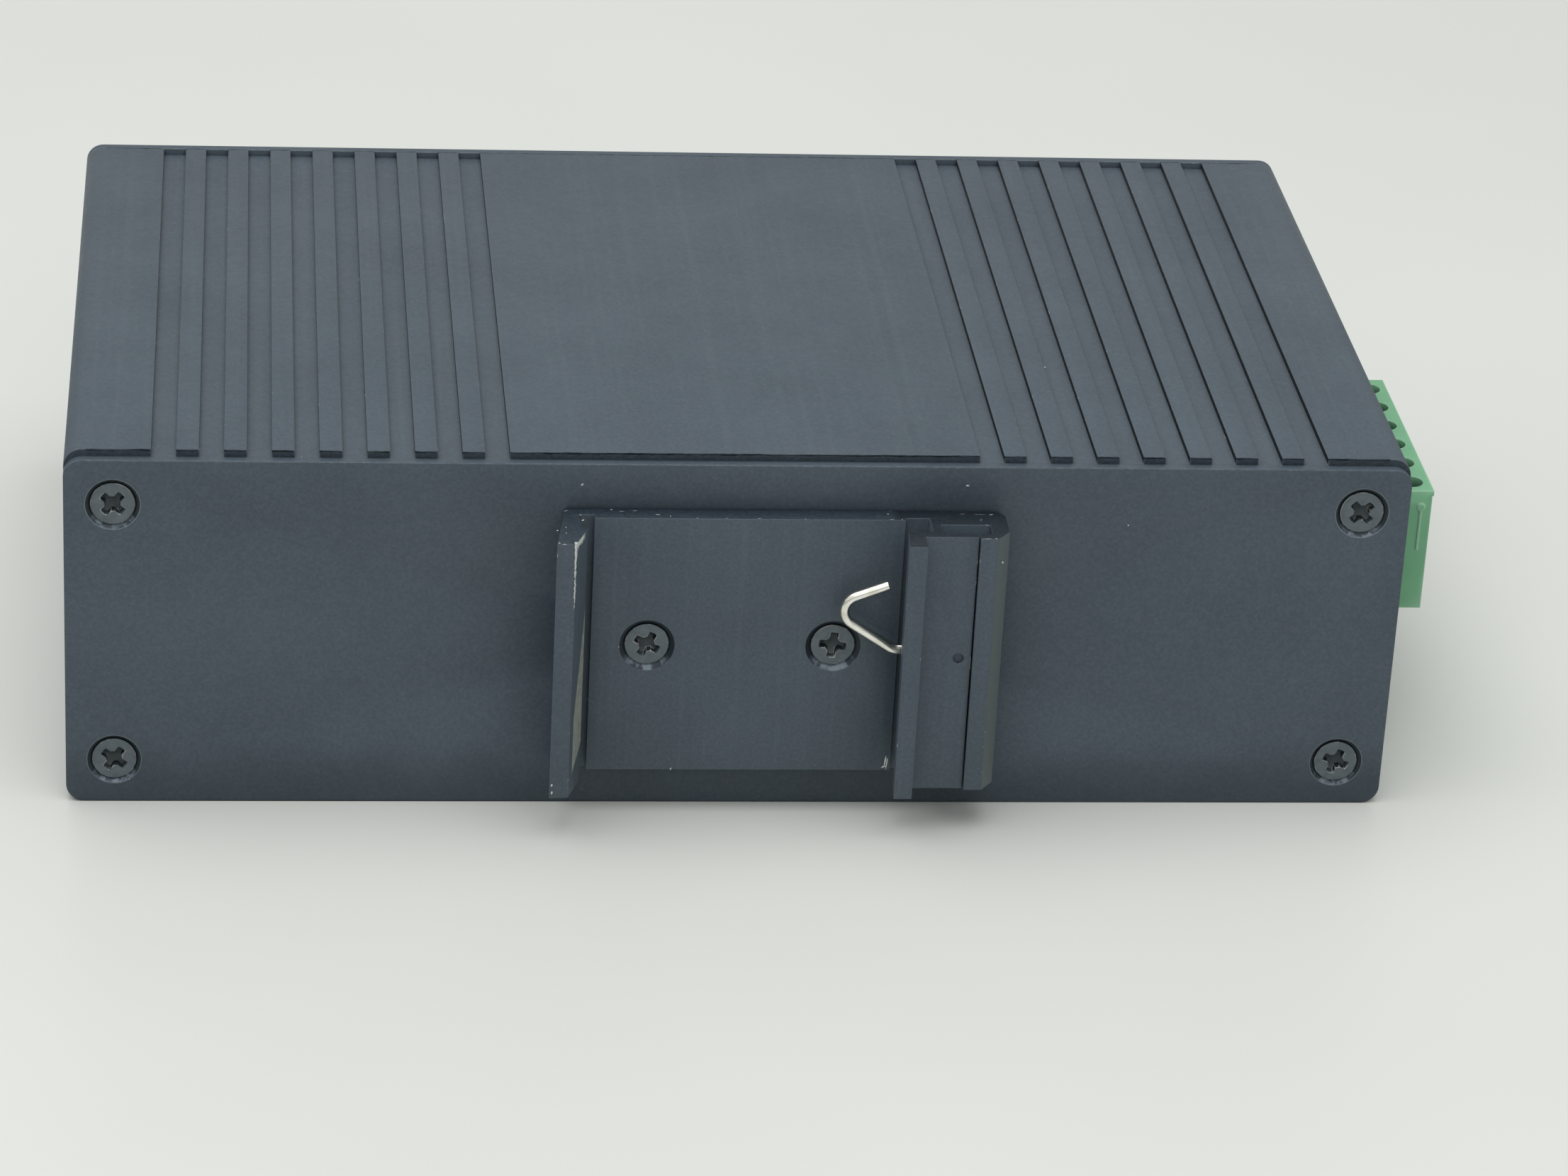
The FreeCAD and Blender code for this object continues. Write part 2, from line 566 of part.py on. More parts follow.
def make_clip_spring():
    """The wire spring: a straight leg in the slot, then a V that lies over the clip's base."""
    level = size(WIRE_LEVEL)
    y = size(f"{REAR} - wire_out")
    corners = [FreeCAD.Vector(size("wire_leg_end"), y, level),
               FreeCAD.Vector(size("wire_bend_x"), y, level),
               FreeCAD.Vector(size("apex_x"), y, level + size("apex_rise")),
               FreeCAD.Vector(size("wire_tip_x"), y, level + size("wire_tip_rise"))]
    path = Part.Wire(rounded_path(corners, [size("exit_radius"), size("apex_radius")]))
    ring = Part.Wire(Part.makeCircle(size("wire_diameter / 2"), corners[0], FreeCAD.Vector(1, 0, 0)))
    spring = doc.addObject("Part::Feature", "clip_spring")
    spring.Label = "clip_spring"
    spring.Shape = path.makePipeShell([ring], True, True)
    return spring


# ---------------------------------------------------------------- main board and sockets

def make_board():
    """The circuit board, held in the slots of the tube's end walls."""
    body = new_body("main_board")
    outline = new_sketch(body, "XY_Plane", f"{BOARD_TOP} - board_thickness")
    half_x = f"({RIGHT} - end_wall - board_side_gap)"
    half_y = "(housing_depth / 2 - plate_thickness - board_end_gap)"
    add_rectangle(outline, f"-{half_x}", half_x, f"-{half_y}", half_y)
    pad(outline, "board_thickness")
    return body


def port_outline(port_x, grow):
    """The T-shaped mouth of one socket, with its latch notch on top, grown on every side."""
    side = f"(plug_width / 2 + {grow})"
    notch = f"(latch_width / 2 + {grow})"
    low = f"plug_floor - {grow}"
    shoulder = f"plug_floor + plug_height + {grow}"
    high = f"plug_floor + plug_height + latch_height + {grow}"
    corners = [(f"-{side}", low), (side, low), (side, shoulder), (notch, shoulder),
               (notch, high), (f"-{notch}", high), (f"-{notch}", shoulder), (f"-{side}", shoulder)]
    return [(f"{port_x} + ({x_words})", z_words) for x_words, z_words in corners]


FIRST_PORT = "(-(port_count - 1) * port_pitch / 2)"


def add_lamp_pair(sketch, grow):
    """The two lamp openings of the first port, either side of its latch notch."""
    for side in (-1, 1):
        centre = f"{FIRST_PORT} + {side} * lamp_offset"
        add_rectangle(sketch, f"{centre} - lamp_width / 2 - {grow}", f"{centre} + lamp_width / 2 + {grow}",
                      f"lamp_level - lamp_height / 2 - {grow}", f"lamp_level + lamp_height / 2 + {grow}")


def bank_body(label, side):
    """A body whose origin is the bottom middle of a bank's front face; local y runs out of it."""
    return new_body(label, x=f"{side} * {BANK_CENTRE}", y="housing_depth / 2 + bank_stands_out", z=BOARD_TOP)


def make_insert(name, side):
    """The moulded block inside a bank: four plug cavities, lamp seats and contact combs."""
    body = bank_body("jack_insert_" + name, side)
    reach = f"({BANK_WIDTH} / 2 - shield_sheet - insert_gap)"
    front = "shield_sheet + insert_gap"
    block = new_sketch(body, "XZ_Plane", front)
    add_rectangle(block, f"-{reach}", reach, "0", "bank_height - shield_sheet - insert_gap")
    pad(block, f"bank_depth - 2 * ({front})", backwards=False)

    mouth = new_sketch(body, "XZ_Plane", "0")
    add_outline(mouth, port_outline(FIRST_PORT, "0"))
    row_of(pocket(mouth, "cavity_depth", forwards=True), "X_Axis", "port_pitch", "port_count")

    lamps = new_sketch(body, "XZ_Plane", "0")
    add_lamp_pair(lamps, "0")
    row_of(pocket(lamps, f"lamp_depth + {front}", forwards=True), "X_Axis", "port_pitch", "port_count")

    comb = new_sketch(body, "XY_Plane", "0")
    left, right = f"{FIRST_PORT} - comb_width / 2", f"{FIRST_PORT} + comb_width / 2"
    add_rectangle(comb, left, right, "-comb_end", "-comb_front")
    row_of(pocket(comb, "comb_height", forwards=True), "X_Axis", "port_pitch", "port_count")

    slot = new_sketch(body, "XY_Plane", "0")
    add_rectangle(slot, left, right, "-comb_slot_end", "-comb_front")
    row_of(pocket(slot, "plug_floor + insert_gap", forwards=True), "X_Axis", "port_pitch", "port_count")
    return body


def make_shield(name, side):
    """The folded sheet box over a bank, open underneath, with four mouths and eight lamp windows."""
    body = bank_body("jack_shield_" + name, side)
    box = new_sketch(body, "XZ_Plane", "0")
    add_rectangle(box, f"-{BANK_WIDTH} / 2", f"{BANK_WIDTH} / 2", "0", "bank_height")
    pad(box, "bank_depth", backwards=False)
    inside = new_sketch(body, "XY_Plane", "0")
    reach = f"({BANK_WIDTH} / 2 - shield_sheet)"
    add_rectangle(inside, f"-{reach}", reach, "-bank_depth + shield_sheet", "-shield_sheet")
    pocket(inside, "bank_height - shield_sheet", forwards=True)
    through = "cut_room + 1.5 * shield_sheet"
    mouth = new_sketch(body, "XZ_Plane", "-cut_room")
    add_outline(mouth, port_outline(FIRST_PORT, "shield_lip"))
    row_of(pocket(mouth, through, forwards=True), "X_Axis", "port_pitch", "port_count")
    lamps = new_sketch(body, "XZ_Plane", "-cut_room")
    add_lamp_pair(lamps, "insert_gap")
    row_of(pocket(lamps, through, forwards=True), "X_Axis", "port_pitch", "port_count")
    return body


def make_contacts(name, side):
    """Thirty-two contact strips: a foot on the board, a run under the floor and a slanted tongue."""
    strip = new_body("contact_pattern_" + name)
    profile = new_sketch(strip, "YZ_Plane", "-contact_width / 2")
    gauge = "contact_thickness"
    outer = [("-contact_foot", "0"), ("-contact_foot", "contact_level"),
             ("-contact_nose", "contact_level"), ("-contact_nose", "plug_floor + contact_rise"),
             ("-contact_tip", "contact_tip_level")]
    inner = [(f"-contact_tip - 0.5 * {gauge}", f"contact_tip_level + {gauge}"),
             (f"-contact_nose + {gauge}", f"plug_floor + contact_rise + {gauge}"),
             (f"-contact_nose + {gauge}", f"contact_level - {gauge}"),
             (f"-contact_foot + {gauge}", f"contact_level - {gauge}"),
             (f"-contact_foot + {gauge}", "0")]
    add_outline(profile, outer + inner)
    pad(profile, "contact_width")
    front = size("housing_depth / 2 + bank_stands_out")
    places = []
    for port in range(int(size("port_count"))):
        port_x = size(f"{side} * {BANK_CENTRE} + {FIRST_PORT} + {port} * port_pitch")
        for number in range(int(size("contact_count"))):
            x = port_x + size(f"({number} - (contact_count - 1) / 2) * contact_pitch")
            places.append(place_at(x, front, size(BOARD_TOP)))
    return copies("jack_contacts_" + name, strip, places)


def make_port_lamps():
    """Sixteen clear lamp blocks, two for each socket."""
    block = new_body("port_lamp_pattern")
    outline = new_sketch(block, "XZ_Plane", "-shield_sheet - insert_gap")
    half_x, half_z = "lamp_width / 2", "lamp_height / 2"
    add_rectangle(outline, f"-{half_x}", half_x, f"-{half_z}", half_z)
    pad(outline, "lamp_depth", backwards=True)
    front = size("housing_depth / 2 + bank_stands_out")
    level = size(f"{BOARD_TOP} + lamp_level")
    offset = size("lamp_offset")
    places = []
    for side in (-1, 1):
        for port in range(int(size("port_count"))):
            port_x = size(f"{side} * {BANK_CENTRE} + {FIRST_PORT} + {port} * port_pitch")
            for lamp_side in (-1, 1):
                places.append(place_at(port_x + lamp_side * offset, front, level, 180, (0, 0, 1)))
    return copies("port_leds", block, places)


def make_status_lamps():
    """The upright lamp holder on the board and the three round lamps it carries."""
    inner_face = "housing_depth / 2 - plate_thickness"
    height = "status_first + (status_count - 1) * status_pitch + holder_wall"
    holder = new_body("led_holder", x=STATUS_X, y=f"{inner_face} - board_end_gap", z=BOARD_TOP)
    block = new_sketch(holder, "XZ_Plane", "0")
    add_rectangle(block, "-holder_width / 2", "holder_width / 2", "0", height)
    pad(block, "holder_depth", backwards=False)
    seat = new_sketch(holder, "XZ_Plane", "0")
    add_circle(seat, "0", "status_first", "status_diameter")
    sunk = pocket(seat, "holder_depth - holder_wall", forwards=True)
    row_of(sunk, "Z_Axis", "status_pitch", "status_count")

    lamp = new_body("status_lamp_pattern")
    half = new_sketch(lamp, "XY_Plane", "0")
    length = "holder_depth - holder_wall + board_end_gap + plate_thickness"
    add_outline(half, [("0", "0"), ("status_diameter / 2", "0"), ("status_diameter / 2", length),
                       ("status_diameter / 2 - status_shoulder", f"{length} + 0.6 * status_dome"),
                       ("0", f"{length} + status_dome")])
    turned = lamp.newObject("PartDesign::Revolution", "status_lamp_turned")
    turned.Profile = half
    turned.ReferenceAxis = (half, ["V_Axis"])
    turned.Angle = 360
    x = size(STATUS_X)
    y = size(f"{inner_face} - board_end_gap - holder_depth + holder_wall")
    first, pitch = size(f"{BOARD_TOP} + status_first"), size("status_pitch")
    places = [place_at(x, y, first + number * pitch) for number in range(int(size("status_count")))]
    copies("status_leds", lamp, places)


# ---------------------------------------------------------------- terminal block

FIRST_POLE = "(terminal_y - (pole_count - 1) * pole_pitch / 2)"
PLUG_FACE = f"({RIGHT} + plug_stands_out)"
PLUG_BACK = f"({RIGHT} - plug_back)"
HEADER_FACE = f"({PLUG_BACK} - header_fit)"
PIN_LEVEL = f"({BOARD_TOP} + pin_rise)"
PLUG_BOTTOM = f"({BOARD_TOP} + plug_rise)"
TONGUE_BOTTOM = f"({BOARD_TOP} + tongue_rise)"
ENTRY_BOTTOM = f"({BOARD_TOP} + entry_rise)"


def make_header():
    """The board side of the terminal block: an open-fronted trough with a thick pin wall."""
    body = new_body("terminal_header")
    half = f"({TERMINAL_HALF} + header_edge - tongue_margin)"
    block = new_sketch(body, "YZ_Plane", f"{HEADER_FACE} - header_depth")
    add_rectangle(block, f"terminal_y - {half}", f"terminal_y + {half}",
                  BOARD_TOP, f"{BOARD_TOP} + header_height")
    pad(block, "header_depth")
    trough = new_sketch(body, "YZ_Plane", HEADER_FACE)
    reach = f"({TERMINAL_HALF} - tongue_margin + header_fit)"
    add_rectangle(trough, f"terminal_y - {reach}", f"terminal_y + {reach}",
                  f"{TONGUE_BOTTOM} - header_fit", f"{TONGUE_BOTTOM} + tongue_height + header_fit")
    pocket(trough, "header_depth - header_back")
    hole = new_sketch(body, "YZ_Plane", HEADER_FACE)
    across = "(pin_width / 2)"
    add_rectangle(hole, f"{FIRST_POLE} - {across}", f"{FIRST_POLE} + {across}",
                  f"{PIN_LEVEL} - {across}", f"{PIN_LEVEL} + {across}")
    row_of(pocket(hole, "header_depth"), "Y_Axis", "pole_pitch", "pole_count")
    return body


def make_header_pins():
    """Six bent square pins: level through the header's back wall, then down to the board."""
    pin = new_body("header_pin_pattern")
    profile = new_sketch(pin, "XZ_Plane", "-pin_width / 2")
    tip = f"{HEADER_FACE} - header_depth + header_back + pin_reach"
    leg = f"{HEADER_FACE} - header_depth - pin_leg_gap"
    low, high = f"{PIN_LEVEL} - pin_width / 2", f"{PIN_LEVEL} + pin_width / 2"
    add_outline(profile, [(f"{leg} - pin_width", BOARD_TOP), (leg, BOARD_TOP), (leg, low), (tip, low),
                          (tip, high), (f"{leg} - pin_width", high)])
    pad(profile, "pin_width")
    places = [place_at(0, size(f"{FIRST_POLE} + {number} * pole_pitch"), 0)
              for number in range(int(size("pole_count")))]
    return copies("header_pins", pin, places)


def make_plug():
    """The plug: a tall body with screw wells and wire entries, and a tongue that fills the header."""
    body = new_body("terminal_plug")
    block = new_sketch(body, "YZ_Plane", PLUG_BACK)
    top = f"{PLUG_BOTTOM} + plug_body_height"
    near, far = f"terminal_y - {TERMINAL_HALF}", f"terminal_y + {TERMINAL_HALF}"
    add_rectangle(block, near, far, PLUG_BOTTOM, top)
    pad(block, f"{PLUG_FACE} - plug_lip - {PLUG_BACK}")
    lip = new_sketch(body, "YZ_Plane", f"{PLUG_FACE} - plug_lip_depth")
    add_rectangle(lip, near, far, f"{top} - plug_lip_height", top)
    pad(lip, "plug_lip_depth")
    tongue = new_sketch(body, "YZ_Plane", f"{PLUG_BACK} + plug_join")
    margin = "tongue_margin"
    add_rectangle(tongue, f"{near} + {margin}", f"{far} - {margin}",
                  TONGUE_BOTTOM, f"{TONGUE_BOTTOM} + tongue_height")
    pad(tongue, "tongue_length + plug_join", backwards=True)

    entry = new_sketch(body, "YZ_Plane", PLUG_FACE)
    across = "(entry_width / 2)"
    add_rectangle(entry, f"{FIRST_POLE} - {across}", f"{FIRST_POLE} + {across}",
                  ENTRY_BOTTOM, f"{ENTRY_BOTTOM} + entry_height")
    row_of(pocket(entry, "entry_depth"), "Y_Axis", "pole_pitch", "pole_count")

    well = new_sketch(body, "XY_Plane", top)
    add_circle(well, f"{PLUG_FACE} - well_inset", FIRST_POLE, "well_diameter")
    row_of(pocket(well, f"{top} - {ENTRY_BOTTOM} - entry_height / 2"), "Y_Axis", "pole_pitch", "pole_count")

    socket = new_sketch(body, "YZ_Plane", f"{PLUG_BACK} - tongue_length")
    around = "(socket_width / 2)"
    add_rectangle(socket, f"{FIRST_POLE} - {around}", f"{FIRST_POLE} + {around}",
                  f"{PIN_LEVEL} - {around}", f"{PIN_LEVEL} + {around}")
    row_of(pocket(socket, "socket_depth", forwards=True), "Y_Axis", "pole_pitch", "pole_count")

    key = new_sketch(body, "XZ_Plane", f"-({near}) - key_root")
    key_x = f"{PLUG_FACE} - key_inset"
    add_circle(key, key_x, f"{top} - key_drop", "key_diameter")
    pad(key, "key_height + key_root")
    ridge = new_sketch(body, "XZ_Plane", f"-({near}) - key_root")
    add_rectangle(ridge, f"{key_x} - key_width / 2", f"{key_x} + key_width / 2",
                  f"{top} - key_drop - key_length", f"{top} - key_drop")
    pad(ridge, "0.6 * key_height + key_root")
    return body


# degrees by which the slots of the clamp screws are turned
FIRST_TURN = 15
TURN_STEP = 29


def make_clamps():
    """Six slotted clamp screws in the plug's wells and the six cages that they close."""
    screw = new_body("clamp_screw_pattern")
    half = new_sketch(screw, "XZ_Plane", "0")
    cage_top = f"({ENTRY_BOTTOM} + entry_height - cage_fit)"
    length = f"({PLUG_BOTTOM} + plug_body_height - clamp_head_drop - {cage_top} + cage_wall)"
    head, shank = "clamp_head_diameter / 2", "clamp_shank / 2"
    add_outline(half, [("0", "0"), (head, "0"), (head, "-clamp_head_height"), (shank, "-clamp_head_height"),
                       (shank, f"-{length}"), ("0", f"-{length}")])
    turned = screw.newObject("PartDesign::Revolution", "clamp_screw_turned")
    turned.Profile = half
    turned.ReferenceAxis = (half, ["V_Axis"])
    turned.Angle = 360
    slot = new_sketch(screw, "XY_Plane", "0")
    add_rectangle(slot, "-clamp_head_diameter", "clamp_head_diameter", "-clamp_slot_width / 2",
                  "clamp_slot_width / 2")
    pocket(slot, "clamp_slot_depth")

    cage = new_body("wire_clamp_pattern")
    frame = new_sketch(cage, "YZ_Plane", "-cage_length / 2")
    width = "(entry_width / 2 - cage_fit)"
    low, high = f"{ENTRY_BOTTOM} + cage_fit", cage_top
    add_rectangle(frame, f"-{width}", width, low, high)
    add_rectangle(frame, f"-{width} + cage_wall", f"{width} - cage_wall", f"{low} + cage_wall",
                  f"{high} - cage_wall")
    pad(frame, "cage_length")
    hole = new_sketch(cage, "XY_Plane", high)
    add_circle(hole, "0", "0", "clamp_shank + cage_fit")
    pocket(hole, "cage_wall + cage_fit")

    x = size(f"{PLUG_FACE} - well_inset")
    head = size(f"{PLUG_BOTTOM} + plug_body_height - clamp_head_drop")
    rows = [size(f"{FIRST_POLE} + {number} * pole_pitch") for number in range(int(size("pole_count")))]
    turns = [FIRST_TURN + TURN_STEP * number for number in range(len(rows))]
    copies("clamp_screws", screw, [place_at(x, y, head, turn, (0, 0, 1)) for y, turn in zip(rows, turns)])
    copies("wire_clamps", cage, [place_at(x, y, 0) for y in rows])


# ---------------------------------------------------------------- parts on the board

BANK_BACK = "(housing_depth / 2 + bank_stands_out - bank_depth)"
TRANSFORMER_Y = f"({BANK_BACK} - transformer_gap - transformer_width / 2)"

CHIPS = [
    # node, first word of its sizes, x, y
    ("switch_chip", "switch", "switch_x", f"{TRANSFORMER_Y} - switch_back"),
    ("memory_chip", "memory", "memory_x", f"{TRANSFORMER_Y} - memory_back"),
    ("crystal", "crystal", "crystal_x", f"{TRANSFORMER_Y} - crystal_back"),
    ("fault_relay", "relay", f"{RIGHT} - power_inset_x", f"{TRANSFORMER_Y} - relay_back"),
    ("input_fuse", "fuse", f"{RIGHT} - power_inset_x", f"{BOARD_REAR} + fuse_inset_y"),
    ("voltage_regulator", "regulator", f"{RIGHT} - regulator_inset_x", f"{BOARD_REAR} + power_inset_y"),
]


def package(label, word, x="0", y="0", z="0"):
    """A flat-topped package with rounded upright edges, sized by the values that start with a word."""
    body = new_body(label, x=x, y=y, z=z)
    outline = new_sketch(body, "XY_Plane", "0")
    add_rectangle(outline, f"-{word}_length / 2", f"{word}_length / 2",
                  f"-{word}_width / 2", f"{word}_width / 2")
    pad(outline, f"{word}_height")
    round_edges(body, f"{word}_rounding", lambda edge: runs_along(edge, 2))
    return body


def make_chips():
    """The single packages soldered to the board."""
    for node, word, x, y in CHIPS:
        package(node, word, x, y, BOARD_TOP)


def make_transformers():
    """Moulded line transformer packages in a row behind the sockets, one for two sockets."""
    pattern = package("transformer_pattern", "transformer")
    y, z = size(TRANSFORMER_Y), size(BOARD_TOP)
    count = int(size("transformer_count"))
    columns = [size(f"({number} - (transformer_count - 1) / 2) * 2 * port_pitch") for number in range(count)]
    copies("lan_transformers", pattern, [place_at(x, y, z) for x in columns])


def turned_part(label, profile, x="0", y="0", z="0"):
    """A round component that stands upright: profile is (radius, height) formulas."""
    body = new_body(label, x=x, y=y, z=z)
    half = new_sketch(body, "XZ_Plane", "0")
    add_outline(half, profile)
    turned = body.newObject("PartDesign::Revolution", label + "_turned")
    turned.Profile = half
    turned.ReferenceAxis = (half, ["V_Axis"])
    turned.Angle = 360
    return body


def make_power_parts():
    """The filter inductor, a flanged drum, and the two input capacitors, cans with a pressed groove."""
    rim, waist = "inductor_diameter / 2", "inductor_waist / 2"
    drum = [("0", "0"), (rim, "0"), (rim, "inductor_flange"), (waist, "inductor_flange + inductor_taper"),
            (waist, "inductor_height - inductor_flange - inductor_taper"),
            (rim, "inductor_height - inductor_flange"), (rim, "inductor_height"), ("0", "inductor_height")]
    turned_part("power_inductor", drum,
                f"{RIGHT} - inductor_inset_x", f"{BOARD_REAR} + inductor_inset_y", BOARD_TOP)

    wall = "can_diameter / 2"
    can = [("0", "0"), (f"{wall} - can_edge", "0"), (wall, "can_edge"), (wall, "can_groove - can_edge"),
           (f"{wall} - can_groove_depth", "can_groove"), (wall, "can_groove + can_edge"),
           (wall, "can_height - can_edge"), (f"{wall} - can_edge", "can_height"), ("0", "can_height")]
    pattern = turned_part("capacitor_pattern", can)
    x, y, z = size("can_x"), size(f"{BOARD_REAR} + power_inset_y"), size(BOARD_TOP)
    copies("input_capacitors", pattern, [place_at(x, y, z), place_at(x - size("can_pitch"), y, z)])


make_sleeve()
make_rear_plate()
make_front_plate()
make_plate_screws()
make_clip_screws()
make_clip_nuts()
make_clip()
make_clip_spring()
make_board()
for bank_name, bank_side in (("left", -1), ("right", 1)):
    make_insert(bank_name, bank_side)
    make_shield(bank_name, bank_side)
    make_contacts(bank_name, bank_side)
make_port_lamps()
make_status_lamps()
make_header()
make_header_pins()
make_plug()
make_clamps()
make_chips()
make_transformers()
make_power_parts()
doc.recompute()

# ---------------------------------------------------------------- checks and export

for item in doc.Objects:
    if "Invalid" in item.State or "Error" in item.State:
        raise RuntimeError(f"{item.Name} failed: {item.State}")

parts = [item for item in doc.Objects
         if item.TypeId in ("PartDesign::Body", "Part::Feature") and "_pattern" not in item.Label]
for item in parts:
    if item.Shape.isNull() or not item.Shape.isValid():
        raise RuntimeError(f"{item.Label} has no sound shape")

os.makedirs("parts", exist_ok=True)
for item in parts:
    item.Shape.exportStep(f"parts/{item.Label}.step")
    box = item.Shape.BoundBox
    spans = "  ".join(f"{low:7.2f} {high:7.2f}" for low, high in
                      ((box.XMin, box.XMax), (box.YMin, box.YMax), (box.ZMin, box.ZMax)))
    print(f"{item.Label:22s} solids {len(item.Shape.Solids):2d}  volume {item.Shape.Volume:9.1f}  {spans}")
print(len(parts), "nodes")
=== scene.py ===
"""Looks of the DIN rail Ethernet switch: finishes, fine pieces, light and camera.

Metres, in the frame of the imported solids: +X runs along the housing to the terminal end, +Y from
the rear plate with the rail clip to the front plate with the sockets, and +Z is up. Sizes are
written in millimetres and turned to metres where a mesh is made.
"""
import json
import math

import bmesh
import bpy
import numpy as np
from mathutils import Matrix, Vector


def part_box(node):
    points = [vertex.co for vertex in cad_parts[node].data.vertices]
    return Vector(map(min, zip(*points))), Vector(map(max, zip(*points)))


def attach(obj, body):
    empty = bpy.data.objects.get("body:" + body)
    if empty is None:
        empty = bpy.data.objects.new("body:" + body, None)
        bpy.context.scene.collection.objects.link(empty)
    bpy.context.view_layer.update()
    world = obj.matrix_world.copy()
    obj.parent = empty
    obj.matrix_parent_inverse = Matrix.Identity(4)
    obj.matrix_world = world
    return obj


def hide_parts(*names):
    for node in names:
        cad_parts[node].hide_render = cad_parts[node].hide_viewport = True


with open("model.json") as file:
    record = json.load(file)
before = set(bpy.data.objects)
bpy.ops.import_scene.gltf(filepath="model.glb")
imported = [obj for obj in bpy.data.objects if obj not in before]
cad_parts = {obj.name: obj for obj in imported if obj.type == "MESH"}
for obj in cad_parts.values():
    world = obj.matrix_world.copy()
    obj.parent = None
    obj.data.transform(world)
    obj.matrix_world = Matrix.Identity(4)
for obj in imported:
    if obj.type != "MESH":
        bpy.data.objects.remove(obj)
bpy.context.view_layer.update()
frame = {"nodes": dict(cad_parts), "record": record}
NODES = frame["nodes"]
MM = 0.001


# ---------------------------------------- sizes of the switch, in mm

GROOVE_FLOOR = 40.4
RIB_TOP = 41.15
# the outer face of the rear plate, which sizes named "out" are counted from
PLATE_Y = -44.25
CLIP_TOP = 35.2
CLIP_BASE_OUT = 2.25
HOOK_OUT = 8.9
# the barbed hook of the clip: where its inner facet starts and ends, along x and out from the plate
FACET_OUTER = (-18.35, 8.7)
FACET_NOSE = (-16.9, 4.8)
# square to that facet, and to the slanting face of the wire's guard
FACET_FACING = (0.937, -0.349, 0.0)
GUARD_FACING = (0.789, -0.614, 0.0)


# ---------------------------------------- colours and nodes

# Noise lies mostly between these, so a range that starts from them gives its full swing
NOISE_RANGE = {"From Min": 0.3, "From Max": 0.7}
# A mix of two colours: its settings, and its inputs, which share their names with other kinds of mix
COLOUR_MIX = {"data_type": "RGBA", "out": 2}
SHARE, FIRST, SECOND = 0, 6, 7


def linear(code):
    """An sRGB hex colour as linear RGBA."""
    channels = [int(code[start:start + 2], 16) / 255 for start in (1, 3, 5)]
    return [c / 12.92 if c <= 0.04045 else ((c + 0.055) / 1.055) ** 2.4 for c in channels] + [1.0]


def feed(tree, node, inputs):
    """Set a node's inputs by name or number: values and #hex colours are written in, sockets joined."""
    for name, value in inputs.items():
        if isinstance(value, bpy.types.NodeSocket):
            tree.links.new(value, node.inputs[name])
        else:
            node.inputs[name].default_value = linear(value) if isinstance(value, str) else value


def add(tree, kind, inputs=None, out=0, **settings):
    """Add one shader node with its settings and inputs, and give back one of its outputs."""
    node = tree.nodes.new("ShaderNode" + kind)
    for name, value in settings.items():
        setattr(node, name, value)
    feed(tree, node, inputs or {})
    return node.outputs[out] if node.outputs else None


def blank_finish(name):
    """A new material with only a shader and an output: (material, tree, shader, place in mm)."""
    material = bpy.data.materials.new(name)
    material.use_nodes = True
    tree = material.node_tree
    tree.nodes.clear()
    shade = add(tree, "BsdfPrincipled")
    add(tree, "OutputMaterial", {"Surface": shade})
    metres = add(tree, "TexCoord", out="Object")
    place = add(tree, "VectorMath", {0: metres, 1: (1000, 1000, 1000)}, operation="MULTIPLY")
    return material, tree, shade.node, place


ROUNDED_EDGE = "rounded_edge"


def worn_edge(tree, radius_mm):
    """(share, normal): how near a sharp edge lies, and the normal rounded over it.

    A face that softened() put in place of a sharp edge counts as the edge itself.
    """
    rounded = add(tree, "Bevel", {"Radius": radius_mm * MM}, samples=6)
    flat = add(tree, "NewGeometry", out="True Normal")
    likeness = add(tree, "VectorMath", {0: rounded, 1: flat}, out="Value", operation="DOT_PRODUCT")
    near = add(tree, "Math", {0: 1.0, 1: likeness}, operation="SUBTRACT")
    # 1 less the cosine of the lean between the two: from 8 degrees to 28
    near = add(tree, "MapRange", {"Value": near, "From Min": 0.01, "From Max": 0.12})
    on_edge = add(tree, "Attribute", out="Fac", attribute_name=ROUNDED_EDGE)
    return add(tree, "Math", {0: near, 1: on_edge}, operation="MAXIMUM"), rounded


def roughen(tree, shader, heights, normal=None):
    """Bump the shader by (height socket, depth in mm) pairs, one over the other."""
    for height, depth in heights:
        inputs = {"Height": height, "Distance": depth * MM, "Strength": 1.0}
        if normal is not None:
            inputs["Normal"] = normal
        normal = add(tree, "Bump", inputs)
    feed(tree, shader, {"Normal": normal})


def facing(tree, direction, either_way=False):
    """1 where the true surface faces along a direction, or against it too if either way will do."""
    normal = add(tree, "NewGeometry", out="True Normal")
    along = add(tree, "VectorMath", {0: normal, 1: direction}, out="Value", operation="DOT_PRODUCT")
    if either_way:
        along = add(tree, "Math", {0: along}, operation="ABSOLUTE")
    # the cosines of 13 and 10 degrees
    return add(tree, "MapRange", {"Value": along, "From Min": 0.975, "From Max": 0.985})


def painted_crevice_shade(tree, place, reach_mm, strength, start=0.8):
    """How much painted shade a crevice gets, from its ambient occlusion: the closer the walls round it, the
    more.

    start is the share of open sky at which it begins. It is at its full strength at a quarter.
    """
    openness = add(tree, "AmbientOcclusion", {"Distance": reach_mm * MM}, out="AO", samples=8)
    patchy = add(tree, "TexNoise", {"Vector": place, "Scale": 1 / 1.5, "Detail": 3.0})
    limit = add(tree, "MapRange", {"Value": patchy, **NOISE_RANGE,
                                   "To Min": start - 0.08, "To Max": start + 0.08})
    return add(tree, "MapRange", {"Value": openness, "From Min": 0.25, "From Max": limit,
                                  "To Min": strength, "To Max": 0.0})
